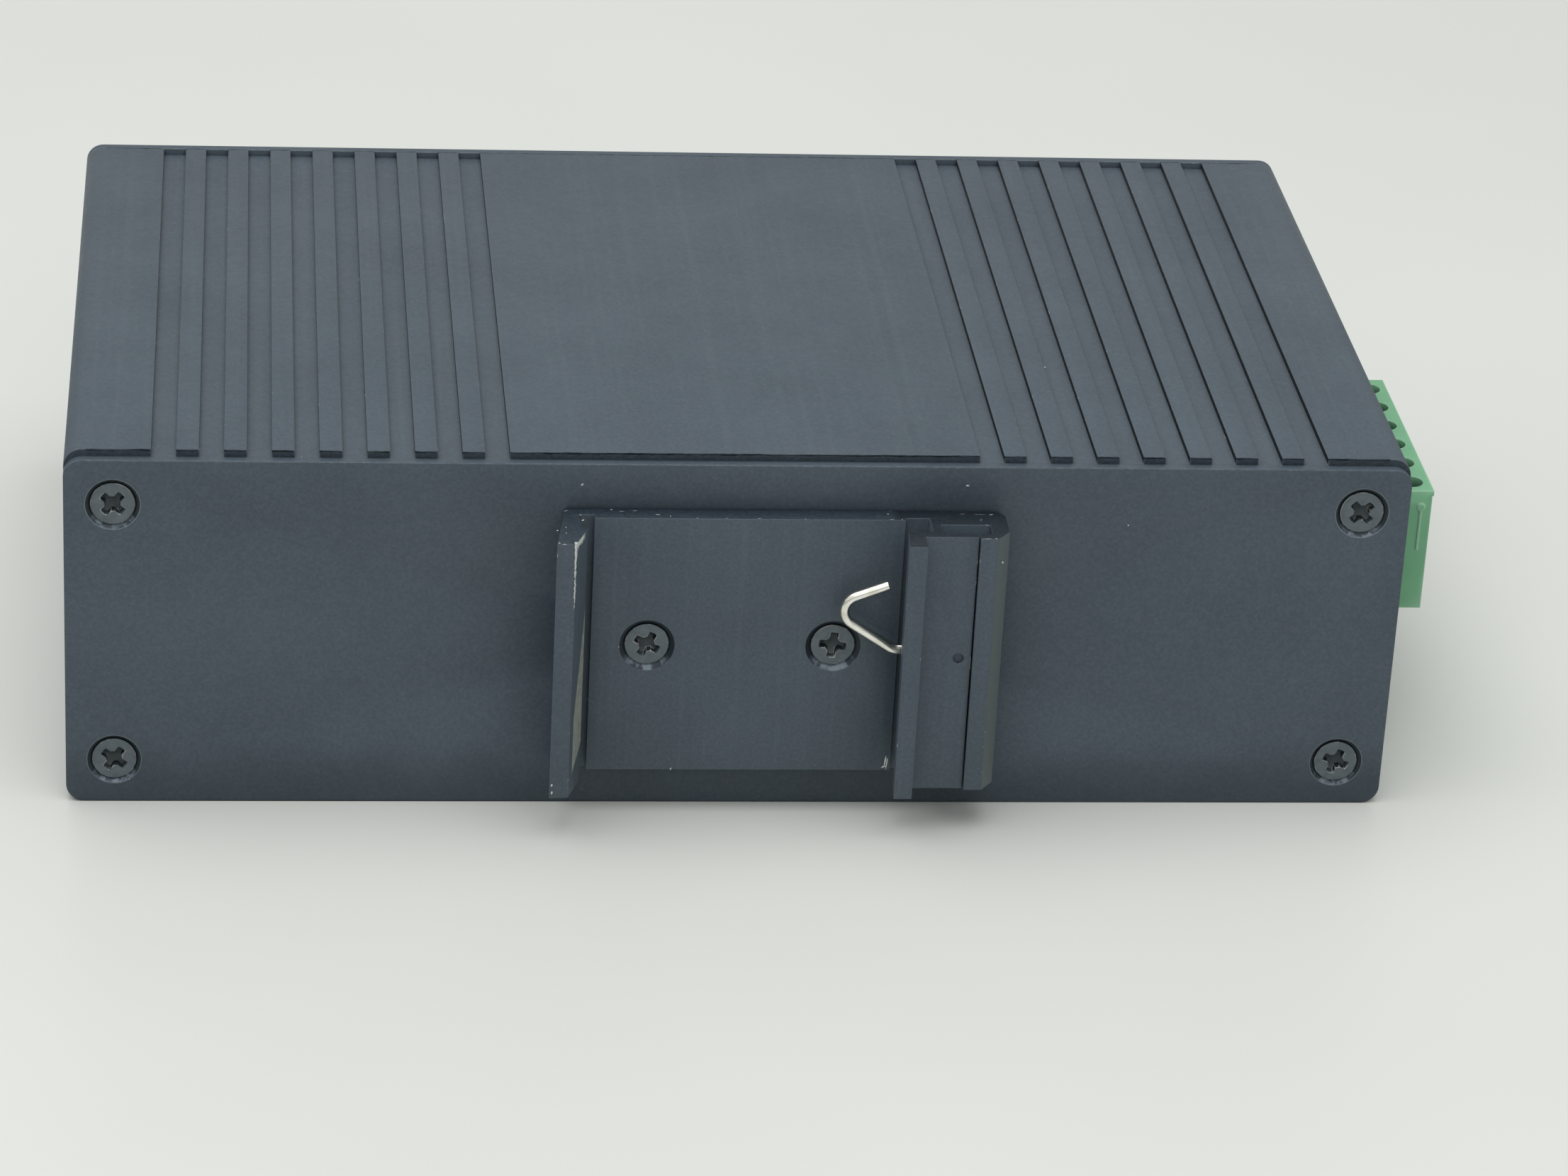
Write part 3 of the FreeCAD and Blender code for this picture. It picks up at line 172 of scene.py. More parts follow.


# ---------------------------------------- finishes

# The blasted and anodised skin: the same dye on every aluminium piece, what wear makes of it, and the painted
# shade and painted light laid on it
COAT_DARK = "#424d57"
COAT_LIGHT = "#49545e"
COAT_RUBBED = "#849095"
COAT_SHADE = "#10171d"
SAWN_DARK = "#222c35"
SAWN_LIGHT = "#3b4853"
SINK_SHADE = "#1f272e"
SINK_HALF_LIT = "#333d45"
SINK_LIT = "#74808a"
GUARD_LIT = "#6f7877"
PATCH_DULL_LIT = "#7f857d"
PATCH_BRIGHT_LIT = "#a3a89f"
SCRAPED_METAL = "#c9cdc8"
BARE_METAL = "#c4c6c0"


def sawn_ends(tree, place, colour, cut_axis):
    """(colour, height): the faces that a saw has left across an axis are dark, torn and coarse."""
    cut = facing(tree, [float(axis == cut_axis) for axis in range(3)], either_way=True)
    crumble = add(tree, "TexNoise", {"Vector": place, "Scale": 1 / 0.45, "Detail": 5.0, "Roughness": 0.75})
    depth = add(tree, "MapRange", {"Value": crumble, "From Min": 0.3, "From Max": 0.75})
    sawn = add(tree, "Mix", {SHARE: depth, FIRST: SAWN_DARK, SECOND: SAWN_LIGHT}, **COLOUR_MIX)
    colour = add(tree, "Mix", {SHARE: cut, FIRST: colour, SECOND: sawn}, **COLOUR_MIX)
    return colour, add(tree, "Math", {0: crumble, 1: cut}, operation="MULTIPLY")


def bare_spots(tree, place, edge, chips):
    """Where bare metal shows: chips along the edges, and specks a tenth of a millimetre in radius.

    The specks lie in a net of 9 mm cells, of which one in ten has one.
    """
    patch = add(tree, "TexNoise", {"Vector": place, "Scale": 1 / 1.6, "Detail": 5.0, "Roughness": 0.7})
    on_edge = add(tree, "MapRange", {"Value": edge, "From Min": 0.3, "From Max": 0.5})
    chipped = add(tree, "MapRange", {"Value": patch, "From Min": 0.64, "From Max": 0.66, "To Max": chips})
    chipped = add(tree, "Math", {0: chipped, 1: on_edge}, operation="MULTIPLY")
    net = add(tree, "TexVoronoi", {"Vector": place, "Scale": 1 / 9}, out="Distance")
    lot = add(tree, "SeparateColor", {"Color": net.node.outputs["Color"]})
    near = add(tree, "MapRange", {"Value": net, "From Min": 0.010, "From Max": 0.017,
                                  "To Min": 1.0, "To Max": 0.0})
    chosen = add(tree, "MapRange", {"Value": lot, "From Min": 0.90, "From Max": 0.91})
    speck = add(tree, "Math", {0: near, 1: chosen}, operation="MULTIPLY")
    return add(tree, "Math", {0: chipped, 1: speck}, operation="MAXIMUM")


def coated_aluminium(name, die_axis=None, cut_axis=None, edge_wear=0.5, edge_radius=0.2, chips=0.0,
                     own_wear_and_painted_light=None):
    """Aluminium, blasted and anodised black: a dull blue-grey skin with a fine even grit.

    die_axis is the axis of the faint lines that the extrusion die leaves. cut_axis is the one that
    the sawn ends face along: they are darker and coarser. edge_wear is how far the edges are worn to a
    paler line, chips how much of them shows bare metal, and the last adds a piece's own wear, painted shade
    and painted light.
    """
    material, tree, shader, place = blank_finish(name)
    cloud = add(tree, "TexNoise", {"Vector": place, "Scale": 1 / 14, "Detail": 4.0})
    tone = add(tree, "MapRange", {"Value": cloud, **NOISE_RANGE})
    colour = add(tree, "Mix", {SHARE: tone, FIRST: COAT_DARK, SECOND: COAT_LIGHT}, **COLOUR_MIX)
    # the blasting grit is finer than this in truth, and is drawn at 0.35 mm so that it shows
    grit = add(tree, "TexNoise", {"Vector": place, "Scale": 1 / 0.35, "Detail": 2.0})
    # what makes the skin paler: a pattern, where it starts to count and counts in full, and how much
    paler = [(grit, 0.35, 0.75, 0.10)]
    heights = [(grit, 0.005)]

    # the die's lines lie 0.8 mm apart and run for some 90 mm
    if die_axis is not None:
        spacing = [1 / 0.8] * 3
        spacing[die_axis] = 1 / 90
        drawn = add(tree, "VectorMath", {0: place, 1: spacing}, operation="MULTIPLY")
        lines = add(tree, "TexNoise", {"Vector": drawn, "Scale": 1.0, "Detail": 3.0})
        paler.append((lines, 0.5, 0.8, 0.06))
        heights.append((lines, 0.003))

    # faint scuffs of handling, a few millimetres long and lying every way
    scuffs = add(tree, "TexNoise", {"Vector": place, "Scale": 1 / 3.2, "Detail": 6.0, "Roughness": 0.75,
                                    "Distortion": 1.6})
    paler.append((scuffs, 0.60, 0.78, 0.12))

    # edges worn unevenly, and painted shade in the crevices
    edge, rounded = worn_edge(tree, edge_radius)
    nick = add(tree, "TexNoise", {"Vector": place, "Scale": 1 / 0.6, "Detail": 4.0, "Roughness": 0.7})
    uneven = add(tree, "MapRange", {"Value": nick, **NOISE_RANGE, "To Min": -0.5, "To Max": 0.2})
    reach = add(tree, "Math", {0: edge, 1: uneven}, operation="ADD")
    paler.append((reach, 0.1, 0.9, edge_wear))
    for pattern, start, full, most in paler:
        share = add(tree, "MapRange", {"Value": pattern, "From Min": start, "From Max": full,
                                       "To Max": most})
        colour = add(tree, "Mix", {SHARE: share, FIRST: colour, SECOND: COAT_RUBBED}, **COLOUR_MIX)
    shade = painted_crevice_shade(tree, place, 0.7, 0.75)
    colour = add(tree, "Mix", {SHARE: shade, FIRST: colour, SECOND: COAT_SHADE}, **COLOUR_MIX)

    if cut_axis is not None:
        colour, torn = sawn_ends(tree, place, colour, cut_axis)
        heights.append((torn, 0.10))
    if own_wear_and_painted_light:
        colour = own_wear_and_painted_light(tree, place, colour)
    bare = bare_spots(tree, place, edge, chips)
    colour = add(tree, "Mix", {SHARE: bare, FIRST: colour, SECOND: BARE_METAL}, **COLOUR_MIX)

    dull = add(tree, "MapRange", {"Value": scuffs, **NOISE_RANGE, "To Min": 0.48, "To Max": 0.60})
    feed(tree, shader, {"Base Color": colour, "Roughness": dull, "Specular IOR Level": 0.34})
    roughen(tree, shader, heights, rounded)
    return material


def shaded_groove_walls(tree, place, colour):
    """The sides of the ribs, painted nearly black as the shade between the ribs."""
    wall = facing(tree, (1, 0, 0), either_way=True)
    height = add(tree, "SeparateXYZ", {"Vector": place}, out="Z")
    above = add(tree, "MapRange", {"Value": height, "From Min": GROOVE_FLOOR - 0.1, "From Max": GROOVE_FLOOR})
    share = add(tree, "Math", {0: wall, 1: above}, operation="MULTIPLY")
    return add(tree, "Mix", {SHARE: share, FIRST: colour, SECOND: COAT_SHADE}, **COLOUR_MIX)


def countersink_shade_and_light(tree, place, colour):
    """The countersunk rims: painted shade, with painted light in patches where they face up."""
    parts = add(tree, "SeparateXYZ", {"Vector": add(tree, "NewGeometry", out="True Normal")}).node.outputs
    # a countersink's wall leans halfway between the plate's face and its hole
    slope = add(tree, "Math", {0: parts["Y"]}, operation="ABSOLUTE")
    cone = add(tree, "MapRange", {"Value": slope, "From Min": 0.60, "From Max": 0.64})
    flatter = add(tree, "MapRange", {"Value": slope, "From Min": 0.76, "From Max": 0.80,
                                     "To Min": 1.0, "To Max": 0.0})
    cone = add(tree, "Math", {0: cone, 1: flatter}, operation="MULTIPLY")
    # painted light on the parts of a rim that face up, painted shade on the rest
    upwards = add(tree, "MapRange", {"Value": parts["Z"], "From Min": 0.35, "From Max": 0.62})
    patchy = add(tree, "TexNoise", {"Vector": place, "Scale": 1 / 0.9, "Detail": 3.0})
    lighter_tone = add(tree, "MapRange", {"Value": patchy, "From Min": 0.42, "From Max": 0.58})
    lighter_tone = add(tree, "Mix", {SHARE: lighter_tone, FIRST: SINK_HALF_LIT, SECOND: SINK_LIT}, **COLOUR_MIX)
    rim = add(tree, "Mix", {SHARE: upwards, FIRST: SINK_SHADE, SECOND: lighter_tone}, **COLOUR_MIX)
    return add(tree, "Mix", {SHARE: cone, FIRST: colour, SECOND: rim}, **COLOUR_MIX)


# painted shade near the floor: a plate darkens on its way down, from 8.5 mm above the bench to 1.5 mm
FOOT_SHADE_FADE = {"From Min": 8.5, "From Max": 1.5, "To Max": 0.36}


def foot_shade_and_sinks(tree, place, colour):
    """The lowest millimetres of a plate, darkened with painted shade near the floor, and the painted shade
    and light of its countersunk rims.
    """
    height = add(tree, "SeparateXYZ", {"Vector": place}, out="Z")
    patchy = add(tree, "TexNoise", {"Vector": place, "Scale": 1 / 5, "Detail": 3.0})
    patchy = add(tree, "MapRange", {"Value": patchy, **NOISE_RANGE, "To Min": -0.6, "To Max": 0.6})
    height = add(tree, "Math", {0: height, 1: patchy}, operation="ADD")
    share = add(tree, "MapRange", {"Value": height, **FOOT_SHADE_FADE}, interpolation_type="SMOOTHSTEP")
    colour = add(tree, "Mix", {SHARE: share, FIRST: colour, SECOND: COAT_SHADE}, **COLOUR_MIX)
    return countersink_shade_and_light(tree, place, colour)


# Marks and painted light on the clip's hooks. The barbed hook lies left of HOOK_SIDE, and the sawn end in
# painted shade lies right of the last range here.
# The patch widens on its way down, from past the nose to near the facet's outer edge, and its foot is
# higher at the nose. The scrape covers the top of the facet's outer part and thins out down its edge.
HOOK_SIDE = {"From Min": -16.2, "From Max": -16.6}
PATCH_WIDENS = {"From Min": 27.0, "From Max": 14.0, "To Min": 1.05, "To Max": 0.30}
PATCH_SLANTS = {"To Min": 6.3, "To Max": 9.8}
SCRAPED_TOP = {"From Min": 34.4, "From Max": 34.8}
SCRAPED_SHARE = {"From Min": 0.8, "From Max": 0.6}
SCRAPE_WIDENS = {"From Min": 25.0, "From Max": 35.0, "To Min": -0.04, "To Max": 0.18}
SCRAPE_OUT = {"From Min": 8.1, "From Max": 8.3}
SHADED_END_SIDE = {"From Min": 15.6, "From Max": 16.4, "To Max": 0.62}


def bare_lit_patch(tree, height, along, on_facet):
    """The part of the barbed hook's facet that a rail has worn bare, its colour raised as painted light on a
    facet that turns away from the lamps.

    along is 0 at the facet's outer edge and 1 at its nose, as in the functions below.
    """
    upper = add(tree, "MapRange", {"Value": height, **PATCH_WIDENS})
    upper = add(tree, "Math", {0: along, 1: upper}, operation="SUBTRACT")
    patch = add(tree, "MapRange", {"Value": upper, "From Min": -0.01, "From Max": 0.03})
    slant = add(tree, "MapRange", {"Value": along, **PATCH_SLANTS})
    slant = add(tree, "Math", {0: height, 1: slant}, operation="SUBTRACT")
    slant = add(tree, "MapRange", {"Value": slant, "From Max": 0.15})
    for share in (slant, on_facet, 0.9):
        patch = add(tree, "Math", {0: patch, 1: share}, operation="MULTIPLY")
    return patch


def facet_scrape(tree, parts, out, along, on_facet, wobble):
    """The scrape over the top end of the barbed hook's facet, and down along its outer edge."""
    ragged = add(tree, "MapRange", {"Value": wobble, **NOISE_RANGE, "To Min": -0.5, "To Max": 0.5})
    top = add(tree, "Math", {0: parts["Z"], 1: ragged}, operation="ADD")
    top = add(tree, "MapRange", {"Value": top, **SCRAPED_TOP})
    outer_part = add(tree, "MapRange", {"Value": along, **SCRAPED_SHARE})
    for share in (outer_part, on_facet):
        top = add(tree, "Math", {0: top, 1: share}, operation="MULTIPLY")

    aside = add(tree, "Math", {0: parts["X"], 1: FACET_OUTER[0]}, operation="SUBTRACT")
    aside = add(tree, "Math", {0: aside}, operation="ABSOLUTE")
    width = add(tree, "MapRange", {"Value": parts["Z"], **SCRAPE_WIDENS})
    uneven = add(tree, "Math", {0: ragged, 1: 0.2}, operation="MULTIPLY")
    width = add(tree, "Math", {0: width, 1: uneven}, operation="ADD")
    line = add(tree, "Math", {0: width, 1: aside}, operation="SUBTRACT")
    line = add(tree, "MapRange", {"Value": line, "From Max": 0.03})
    outermost = add(tree, "MapRange", {"Value": out, **SCRAPE_OUT})
    line = add(tree, "Math", {0: line, 1: outermost}, operation="MULTIPLY")
    return add(tree, "Math", {0: top, 1: line}, operation="MAXIMUM")


def hook_wear_and_painted_light(tree, place, colour):
    """Wear and painted light on the clip's hooks: a bare patch, partly painted light, and a scrape on the
    barbed one, painted shade on the lipped one's sawn end, painted light on the guard, and the countersunk
    rims' painted shade and light.
    """
    parts = add(tree, "SeparateXYZ", {"Vector": place}).node.outputs
    out = add(tree, "Math", {0: PLATE_Y, 1: parts["Y"]}, operation="SUBTRACT")
    wobble = add(tree, "TexNoise", {"Vector": place, "Scale": 1 / 0.7, "Detail": 4.0, "Roughness": 0.7})
    along = add(tree, "MapRange", {"Value": out, "From Min": FACET_OUTER[1], "From Max": FACET_NOSE[1]})
    on_facet = facing(tree, FACET_FACING)
    on_hook = add(tree, "MapRange", {"Value": parts["X"], **HOOK_SIDE})
    on_facet = add(tree, "Math", {0: on_facet, 1: on_hook}, operation="MULTIPLY")

    patch = bare_lit_patch(tree, parts["Z"], along, on_facet)
    worn = add(tree, "MapRange", {"Value": wobble, **NOISE_RANGE})
    bare = add(tree, "Mix", {SHARE: worn, FIRST: PATCH_DULL_LIT, SECOND: PATCH_BRIGHT_LIT}, **COLOUR_MIX)
    colour = add(tree, "Mix", {SHARE: patch, FIRST: colour, SECOND: bare}, **COLOUR_MIX)
    scrape = facet_scrape(tree, parts, out, along, on_facet, wobble)
    colour = add(tree, "Mix", {SHARE: scrape, FIRST: colour, SECOND: SCRAPED_METAL}, **COLOUR_MIX)

    # painted shade on the sawn end of the lipped hook
    shaded_end = add(tree, "MapRange", {"Value": parts["X"], **SHADED_END_SIDE})
    shaded_end = add(tree, "Math", {0: shaded_end, 1: facing(tree, (0, 0, 1))}, operation="MULTIPLY")
    colour = add(tree, "Mix", {SHARE: shaded_end, FIRST: colour, SECOND: COAT_SHADE}, **COLOUR_MIX)

    # painted light on the slanting face of the wire's guard: a paler, greener grey
    slanting = facing(tree, GUARD_FACING)
    slanting = add(tree, "Math", {0: slanting, 1: 0.75}, operation="MULTIPLY")
    colour = add(tree, "Mix", {SHARE: slanting, FIRST: colour, SECOND: GUARD_LIT}, **COLOUR_MIX)
    return countersink_shade_and_light(tree, place, colour)


def blackened_steel(name):
    """Screw steel under a black zinc finish: satin grey with turning rings, rims worn bright and painted
    brighter as a highlight, and painted shade in its hollows.
    """
    material, tree, shader, place = blank_finish(name)
    cloud = add(tree, "TexNoise", {"Vector": place, "Scale": 1 / 1.1, "Detail": 4.0})
    tone = add(tree, "MapRange", {"Value": cloud, **NOISE_RANGE})
    colour = add(tree, "Mix", {SHARE: tone, FIRST: "#515a60", SECOND: "#636c72"}, **COLOUR_MIX)
    edge, rounded = worn_edge(tree, 0.14)
    # rims worn bright, whose pale colour also stands in for a painted highlight
    rub = add(tree, "TexNoise", {"Vector": place, "Scale": 1 / 1.3, "Detail": 3.0, "Roughness": 0.6})
    on_edge = add(tree, "MapRange", {"Value": edge, "From Min": 0.15, "From Max": 0.5})
    bright = add(tree, "MapRange", {"Value": rub, "From Min": 0.50, "From Max": 0.58, "To Max": 0.9})
    bright = add(tree, "Math", {0: bright, 1: on_edge}, operation="MULTIPLY")
    # painted shade in the cross and round the head
    shade = painted_crevice_shade(tree, place, 2.0, 0.95)
    colour = add(tree, "Mix", {SHARE: shade, FIRST: colour, SECOND: "#10161a"}, **COLOUR_MIX)
    colour = add(tree, "Mix", {SHARE: bright, FIRST: colour, SECOND: "#d5d7d2"}, **COLOUR_MIX)
    satin = add(tree, "MapRange", {"Value": cloud, **NOISE_RANGE, "To Min": 0.40, "To Max": 0.54})
    feed(tree, shader, {"Base Color": colour, "Roughness": satin, "Metallic": 0.35})
    turning = add(tree, "TexNoise", {"Vector": place, "Scale": 1 / 0.18, "Detail": 3.0})
    roughen(tree, shader, [(turning, 0.004)], rounded)
    return material


def nickel_wire(name):
    """Spring wire under bright nickel: clear reflections, fine drawing marks, a little tarnish."""
    material, tree, shader, place = blank_finish(name)
    cloud = add(tree, "TexNoise", {"Vector": place, "Scale": 1 / 2, "Detail": 4.0})
    tone = add(tree, "MapRange", {"Value": cloud, "From Min": 0.45, "From Max": 0.8})
    colour = add(tree, "Mix", {SHARE: tone, FIRST: "#f3f1ea", SECOND: "#cfc8b8"}, **COLOUR_MIX)
    clear = add(tree, "MapRange", {"Value": cloud, **NOISE_RANGE, "To Min": 0.16, "To Max": 0.30})
    feed(tree, shader, {"Base Color": colour, "Roughness": clear, "Metallic": 1.0})
    marks = add(tree, "TexNoise", {"Vector": place, "Scale": 1 / 0.12, "Detail": 3.0})
    roughen(tree, shader, [(marks, 0.003)])
    return material


def plated_metal(name, clean, tarnished, roughness, rolled_axis=None, metallic=1.0):
    """Plated sheet or turned metal: a metal colour, clouds of tarnish and fine working marks.

    The marks lie a quarter of a millimetre apart, and run on for 15 mm where the sheet is rolled.
    """
    material, tree, shader, place = blank_finish(name)
    cloud = add(tree, "TexNoise", {"Vector": place, "Scale": 1 / 3, "Detail": 5.0})
    tone = add(tree, "MapRange", {"Value": cloud, "From Min": 0.4, "From Max": 0.75})
    colour = add(tree, "Mix", {SHARE: tone, FIRST: clean, SECOND: tarnished}, **COLOUR_MIX)
    spacing = [1 / 0.25] * 3
    if rolled_axis is not None:
        spacing[rolled_axis] = 1 / 15
    drawn = add(tree, "VectorMath", {0: place, 1: spacing}, operation="MULTIPLY")
    marks = add(tree, "TexNoise", {"Vector": drawn, "Scale": 1.0, "Detail": 3.0})
    rolled = add(tree, "MapRange", {"Value": marks, **NOISE_RANGE,
                                    "To Min": roughness - 0.06, "To Max": roughness + 0.08})
    # painted shade in the crevices
    shade = painted_crevice_shade(tree, place, 1.0, 0.6)
    colour = add(tree, "Mix", {SHARE: shade, FIRST: colour, SECOND: "#2b2c2c"}, **COLOUR_MIX)
    feed(tree, shader, {"Base Color": colour, "Roughness": rolled, "Metallic": metallic})
    roughen(tree, shader, [(marks, 0.004)], worn_edge(tree, 0.08)[1])
    return material


def moulded_plastic(name, dark, light, roughness, grain=0.3, depth=0.008, scatter=0.0, edge_pale=None,
                    crevice=("#0c0d0e", 1.0, 0.8)):
    """Injection-moulded plastic: clouded dye, a spark-eroded texture, slightly paler edges, partly wear and
    partly painted highlight, and painted shade in its hollows.

    crevice is the colour of the painted shade in its hollows, how far their walls may be in mm, and where the
    shade starts.
    """
    material, tree, shader, place = blank_finish(name)
    cloud = add(tree, "TexNoise", {"Vector": place, "Scale": 1 / 6, "Detail": 3.0})
    tone = add(tree, "MapRange", {"Value": cloud, **NOISE_RANGE})
    colour = add(tree, "Mix", {SHARE: tone, FIRST: dark, SECOND: light}, **COLOUR_MIX)
    edge, rounded = worn_edge(tree, 0.2)
    if edge_pale:
        # paler edges: partly wear, partly painted highlight
        lighter_tone = add(tree, "MapRange", {"Value": edge, "From Min": 0.03, "From Max": 0.3, "To Max": 0.75})
        colour = add(tree, "Mix", {SHARE: lighter_tone, FIRST: colour, SECOND: edge_pale}, **COLOUR_MIX)
    # painted shade in the hollows
    shade = painted_crevice_shade(tree, place, crevice[1], 0.85, crevice[2])
    colour = add(tree, "Mix", {SHARE: shade, FIRST: colour, SECOND: crevice[0]}, **COLOUR_MIX)
    texture = add(tree, "TexNoise", {"Vector": place, "Scale": 1 / grain, "Detail": 2.0})
    dull = add(tree, "MapRange", {"Value": texture, **NOISE_RANGE,
                                  "To Min": roughness - 0.05, "To Max": roughness + 0.07})
    feed(tree, shader, {"Base Color": colour, "Roughness": dull, "Subsurface Weight": scatter,
                        "Subsurface Scale": 0.8 * MM})
    roughen(tree, shader, [(texture, depth)], rounded)
    return material


def lamp_plastic(name):
    """Clear epoxy of a small lamp: milky, glossy and slightly green."""
    material, tree, shader, place = blank_finish(name)
    cloud = add(tree, "TexNoise", {"Vector": place, "Scale": 1 / 1.2, "Detail": 2.0})
    colour = add(tree, "Mix", {SHARE: cloud, FIRST: "#c9d3c2", SECOND: "#dfe4d6"}, **COLOUR_MIX)
    gloss = add(tree, "MapRange", {"Value": cloud, **NOISE_RANGE, "To Min": 0.10, "To Max": 0.18})
    feed(tree, shader, {"Base Color": colour, "Roughness": gloss, "Transmission Weight": 0.35})
    roughen(tree, shader, [(cloud, 0.004)], worn_edge(tree, 0.1)[1])
    return material


def board_laminate(name):
    """Glass-epoxy laminate under solder resist: deep green, glossy, with weave and tracks showing."""
    material, tree, shader, place = blank_finish(name)
    parts = add(tree, "SeparateXYZ", {"Vector": place}).node.outputs
    # the glass cloth has a thread each 0.7 mm both ways
    threads = []
    for axis in ("X", "Y"):
        angle = add(tree, "Math", {0: parts[axis], 1: 2 * math.pi / 0.7}, operation="MULTIPLY")
        threads.append(add(tree, "Math", {0: angle}, operation="SINE"))
    weave = add(tree, "Math", {0: threads[0], 1: threads[1]}, operation="MULTIPLY")
    tracks = add(tree, "TexBrick", {"Vector": place, "Scale": 0.6, "Mortar Size": 0.06, "Brick Width": 0.9,
                                    "Row Height": 0.28}, out="Fac")
    copper = add(tree, "MapRange", {"Value": tracks, "To Max": 0.5})
    colour = add(tree, "Mix", {SHARE: copper, FIRST: "#0f4a2f", SECOND: "#2b7a4d"}, **COLOUR_MIX)
    cloud = add(tree, "TexNoise", {"Vector": place, "Scale": 1 / 8})
    tone = add(tree, "MapRange", {"Value": cloud, **NOISE_RANGE, "To Max": 0.25})
    colour = add(tree, "Mix", {SHARE: tone, FIRST: colour, SECOND: "#0b3a26"}, **COLOUR_MIX)
    gloss = add(tree, "MapRange", {"Value": cloud, **NOISE_RANGE, "To Min": 0.28, "To Max": 0.36})
    feed(tree, shader, {"Base Color": colour, "Roughness": gloss})
    roughen(tree, shader, [(weave, 0.004), (tracks, 0.02)])
    return material


SLEEVE_COAT = coated_aluminium("anodised_sleeve", die_axis=1, cut_axis=1, edge_wear=0.12, chips=0.25,
                               own_wear_and_painted_light=shaded_groove_walls)
PLATE_COAT = coated_aluminium("anodised_plate", edge_wear=0.5, chips=0.6, own_wear_and_painted_light=foot_shade_and_sinks)
CLIP_COAT = coated_aluminium("anodised_clip", die_axis=2, cut_axis=2, edge_wear=0.12, chips=0.9,
                             edge_radius=0.12, own_wear_and_painted_light=hook_wear_and_painted_light)
BURR_FINISH = plated_metal("torn_saw_burr", "#28323a", "#5b666d", 0.62)
FLECK_FINISH = plated_metal("scraped_aluminium", "#eceeea", "#c9ccc8", 0.45, metallic=0.3)
SCREW_FINISH = blackened_steel("black_zinc_steel")
WIRE_FINISH = nickel_wire("nickel_spring_wire")
STEEL_FINISH = plated_metal("zinc_plated_steel", "#b9bcc0", "#8f9296", 0.34)
SHIELD_FINISH = plated_metal("nickel_plated_sheet", "#c9c8c2", "#a9a79f", 0.30, rolled_axis=0)
GOLD_FINISH = plated_metal("gold_flashed_bronze", "#e3bd63", "#c79a48", 0.26)
CAN_FINISH = plated_metal("drawn_aluminium_can", "#c4c6c8", "#a4a7aa", 0.32)
# the crevice colour is dark green painted shade in the plug's wells and recesses
GREEN_FINISH = moulded_plastic("green_nylon", "#6dab80", "#7ab78d", 0.46, scatter=0.06,
                               edge_pale="#a9d2b4", crevice=("#12291d", 3.0, 0.60))
BLACK_FINISH = moulded_plastic("black_glass_filled_plastic", "#17191b", "#222528", 0.50)
PACKAGE_FINISH = moulded_plastic("black_epoxy_package", "#1b1c1e", "#26282a", 0.58, grain=0.15, depth=0.012)
FERRITE_FINISH = moulded_plastic("pressed_ferrite", "#26272a", "#36383b", 0.66, grain=0.2, depth=0.02)
LAMP_FINISH = lamp_plastic("clear_epoxy_lamp")
BOARD_FINISH = board_laminate("green_laminate")

SLOT_FINISHES = {
    "case_coating": PLATE_COAT, "screw_black": SCREW_FINISH, "spring_wire": WIRE_FINISH,
    "plated_steel": STEEL_FINISH, "board_laminate": BOARD_FINISH, "jack_moulding": BLACK_FINISH,
    "shield_sheet": SHIELD_FINISH, "contact_gold": GOLD_FINISH, "lamp_plastic": LAMP_FINISH,
    "terminal_green": GREEN_FINISH, "package_black": PACKAGE_FINISH, "can_metal": CAN_FINISH,
    "ferrite": FERRITE_FINISH,
}
for subpart in frame["record"]["subparts"]:
    solid = NODES[subpart["node"]]
    for number in range(len(solid.data.materials)):
        solid.data.materials[number] = SLOT_FINISHES[subpart["material_slot"]]


# ---------------------------------------- meshes

SHARP_DEGREES = 35


def settle(name, mesh, finish, body, replaced=(), sharp=SHARP_DEGREES):
    """Shade a mesh, link it as a piece, hang it on its body and hide the solids that it stands in for.

    Edges where the surface turns by more than sharp degrees are shaded as edges.
    """
    mesh.shade_smooth()
    mesh.set_sharp_from_angle(angle=math.radians(sharp))
    mesh.materials.append(finish)
    piece = bpy.data.objects.new(name, mesh)
    bpy.context.scene.collection.objects.link(piece)
    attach(piece, body)
    if replaced:
        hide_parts(*replaced)


def shell_mesh(name, points_mm, faces):
    """A mesh of closed shells from points in mm, with every face turned outwards."""
    mesh = bpy.data.meshes.new(name)
    mesh.from_pydata((points_mm * MM).tolist(), [], faces)
    shape = bmesh.new()
    shape.from_mesh(mesh)
    bmesh.ops.recalc_face_normals(shape, faces=shape.faces)
    shape.to_mesh(mesh)
    shape.free()
    return mesh


def grid_faces(rows, columns):
    """Quads between neighbouring points of a rows by columns grid that closes round on itself."""
    row, column = np.meshgrid(np.arange(rows - 1), np.arange(columns), indexing="ij")
    after = (column + 1) % columns
    corners = [row * columns + column, row * columns + after,
               (row + 1) * columns + after, (row + 1) * columns + column]
    return np.stack(corners, axis=-1).reshape(-1, 4)


def capped_tube(rings):
    """Points and faces of a tube given as rings of points: grid quads, and a flat cap at each end."""
    rows, columns = rings.shape[:2]
    first = list(range(columns))
    last = [(rows - 1) * columns + side for side in range(columns)]
    return rings.reshape(-1, 3), grid_faces(rows, columns).tolist() + [first, last]


def gathered(shells):
    """One set of points and faces from several."""
    points, faces, offset = [], [], 0
    for shell_points, shell_faces in shells:
        points.append(shell_points)
        faces += [[corner + offset for corner in face] for face in shell_faces]
        offset += len(shell_points)
    return np.concatenate(points), faces


SAME_POINT = 0.0005
FLAT_DEGREES = 0.5


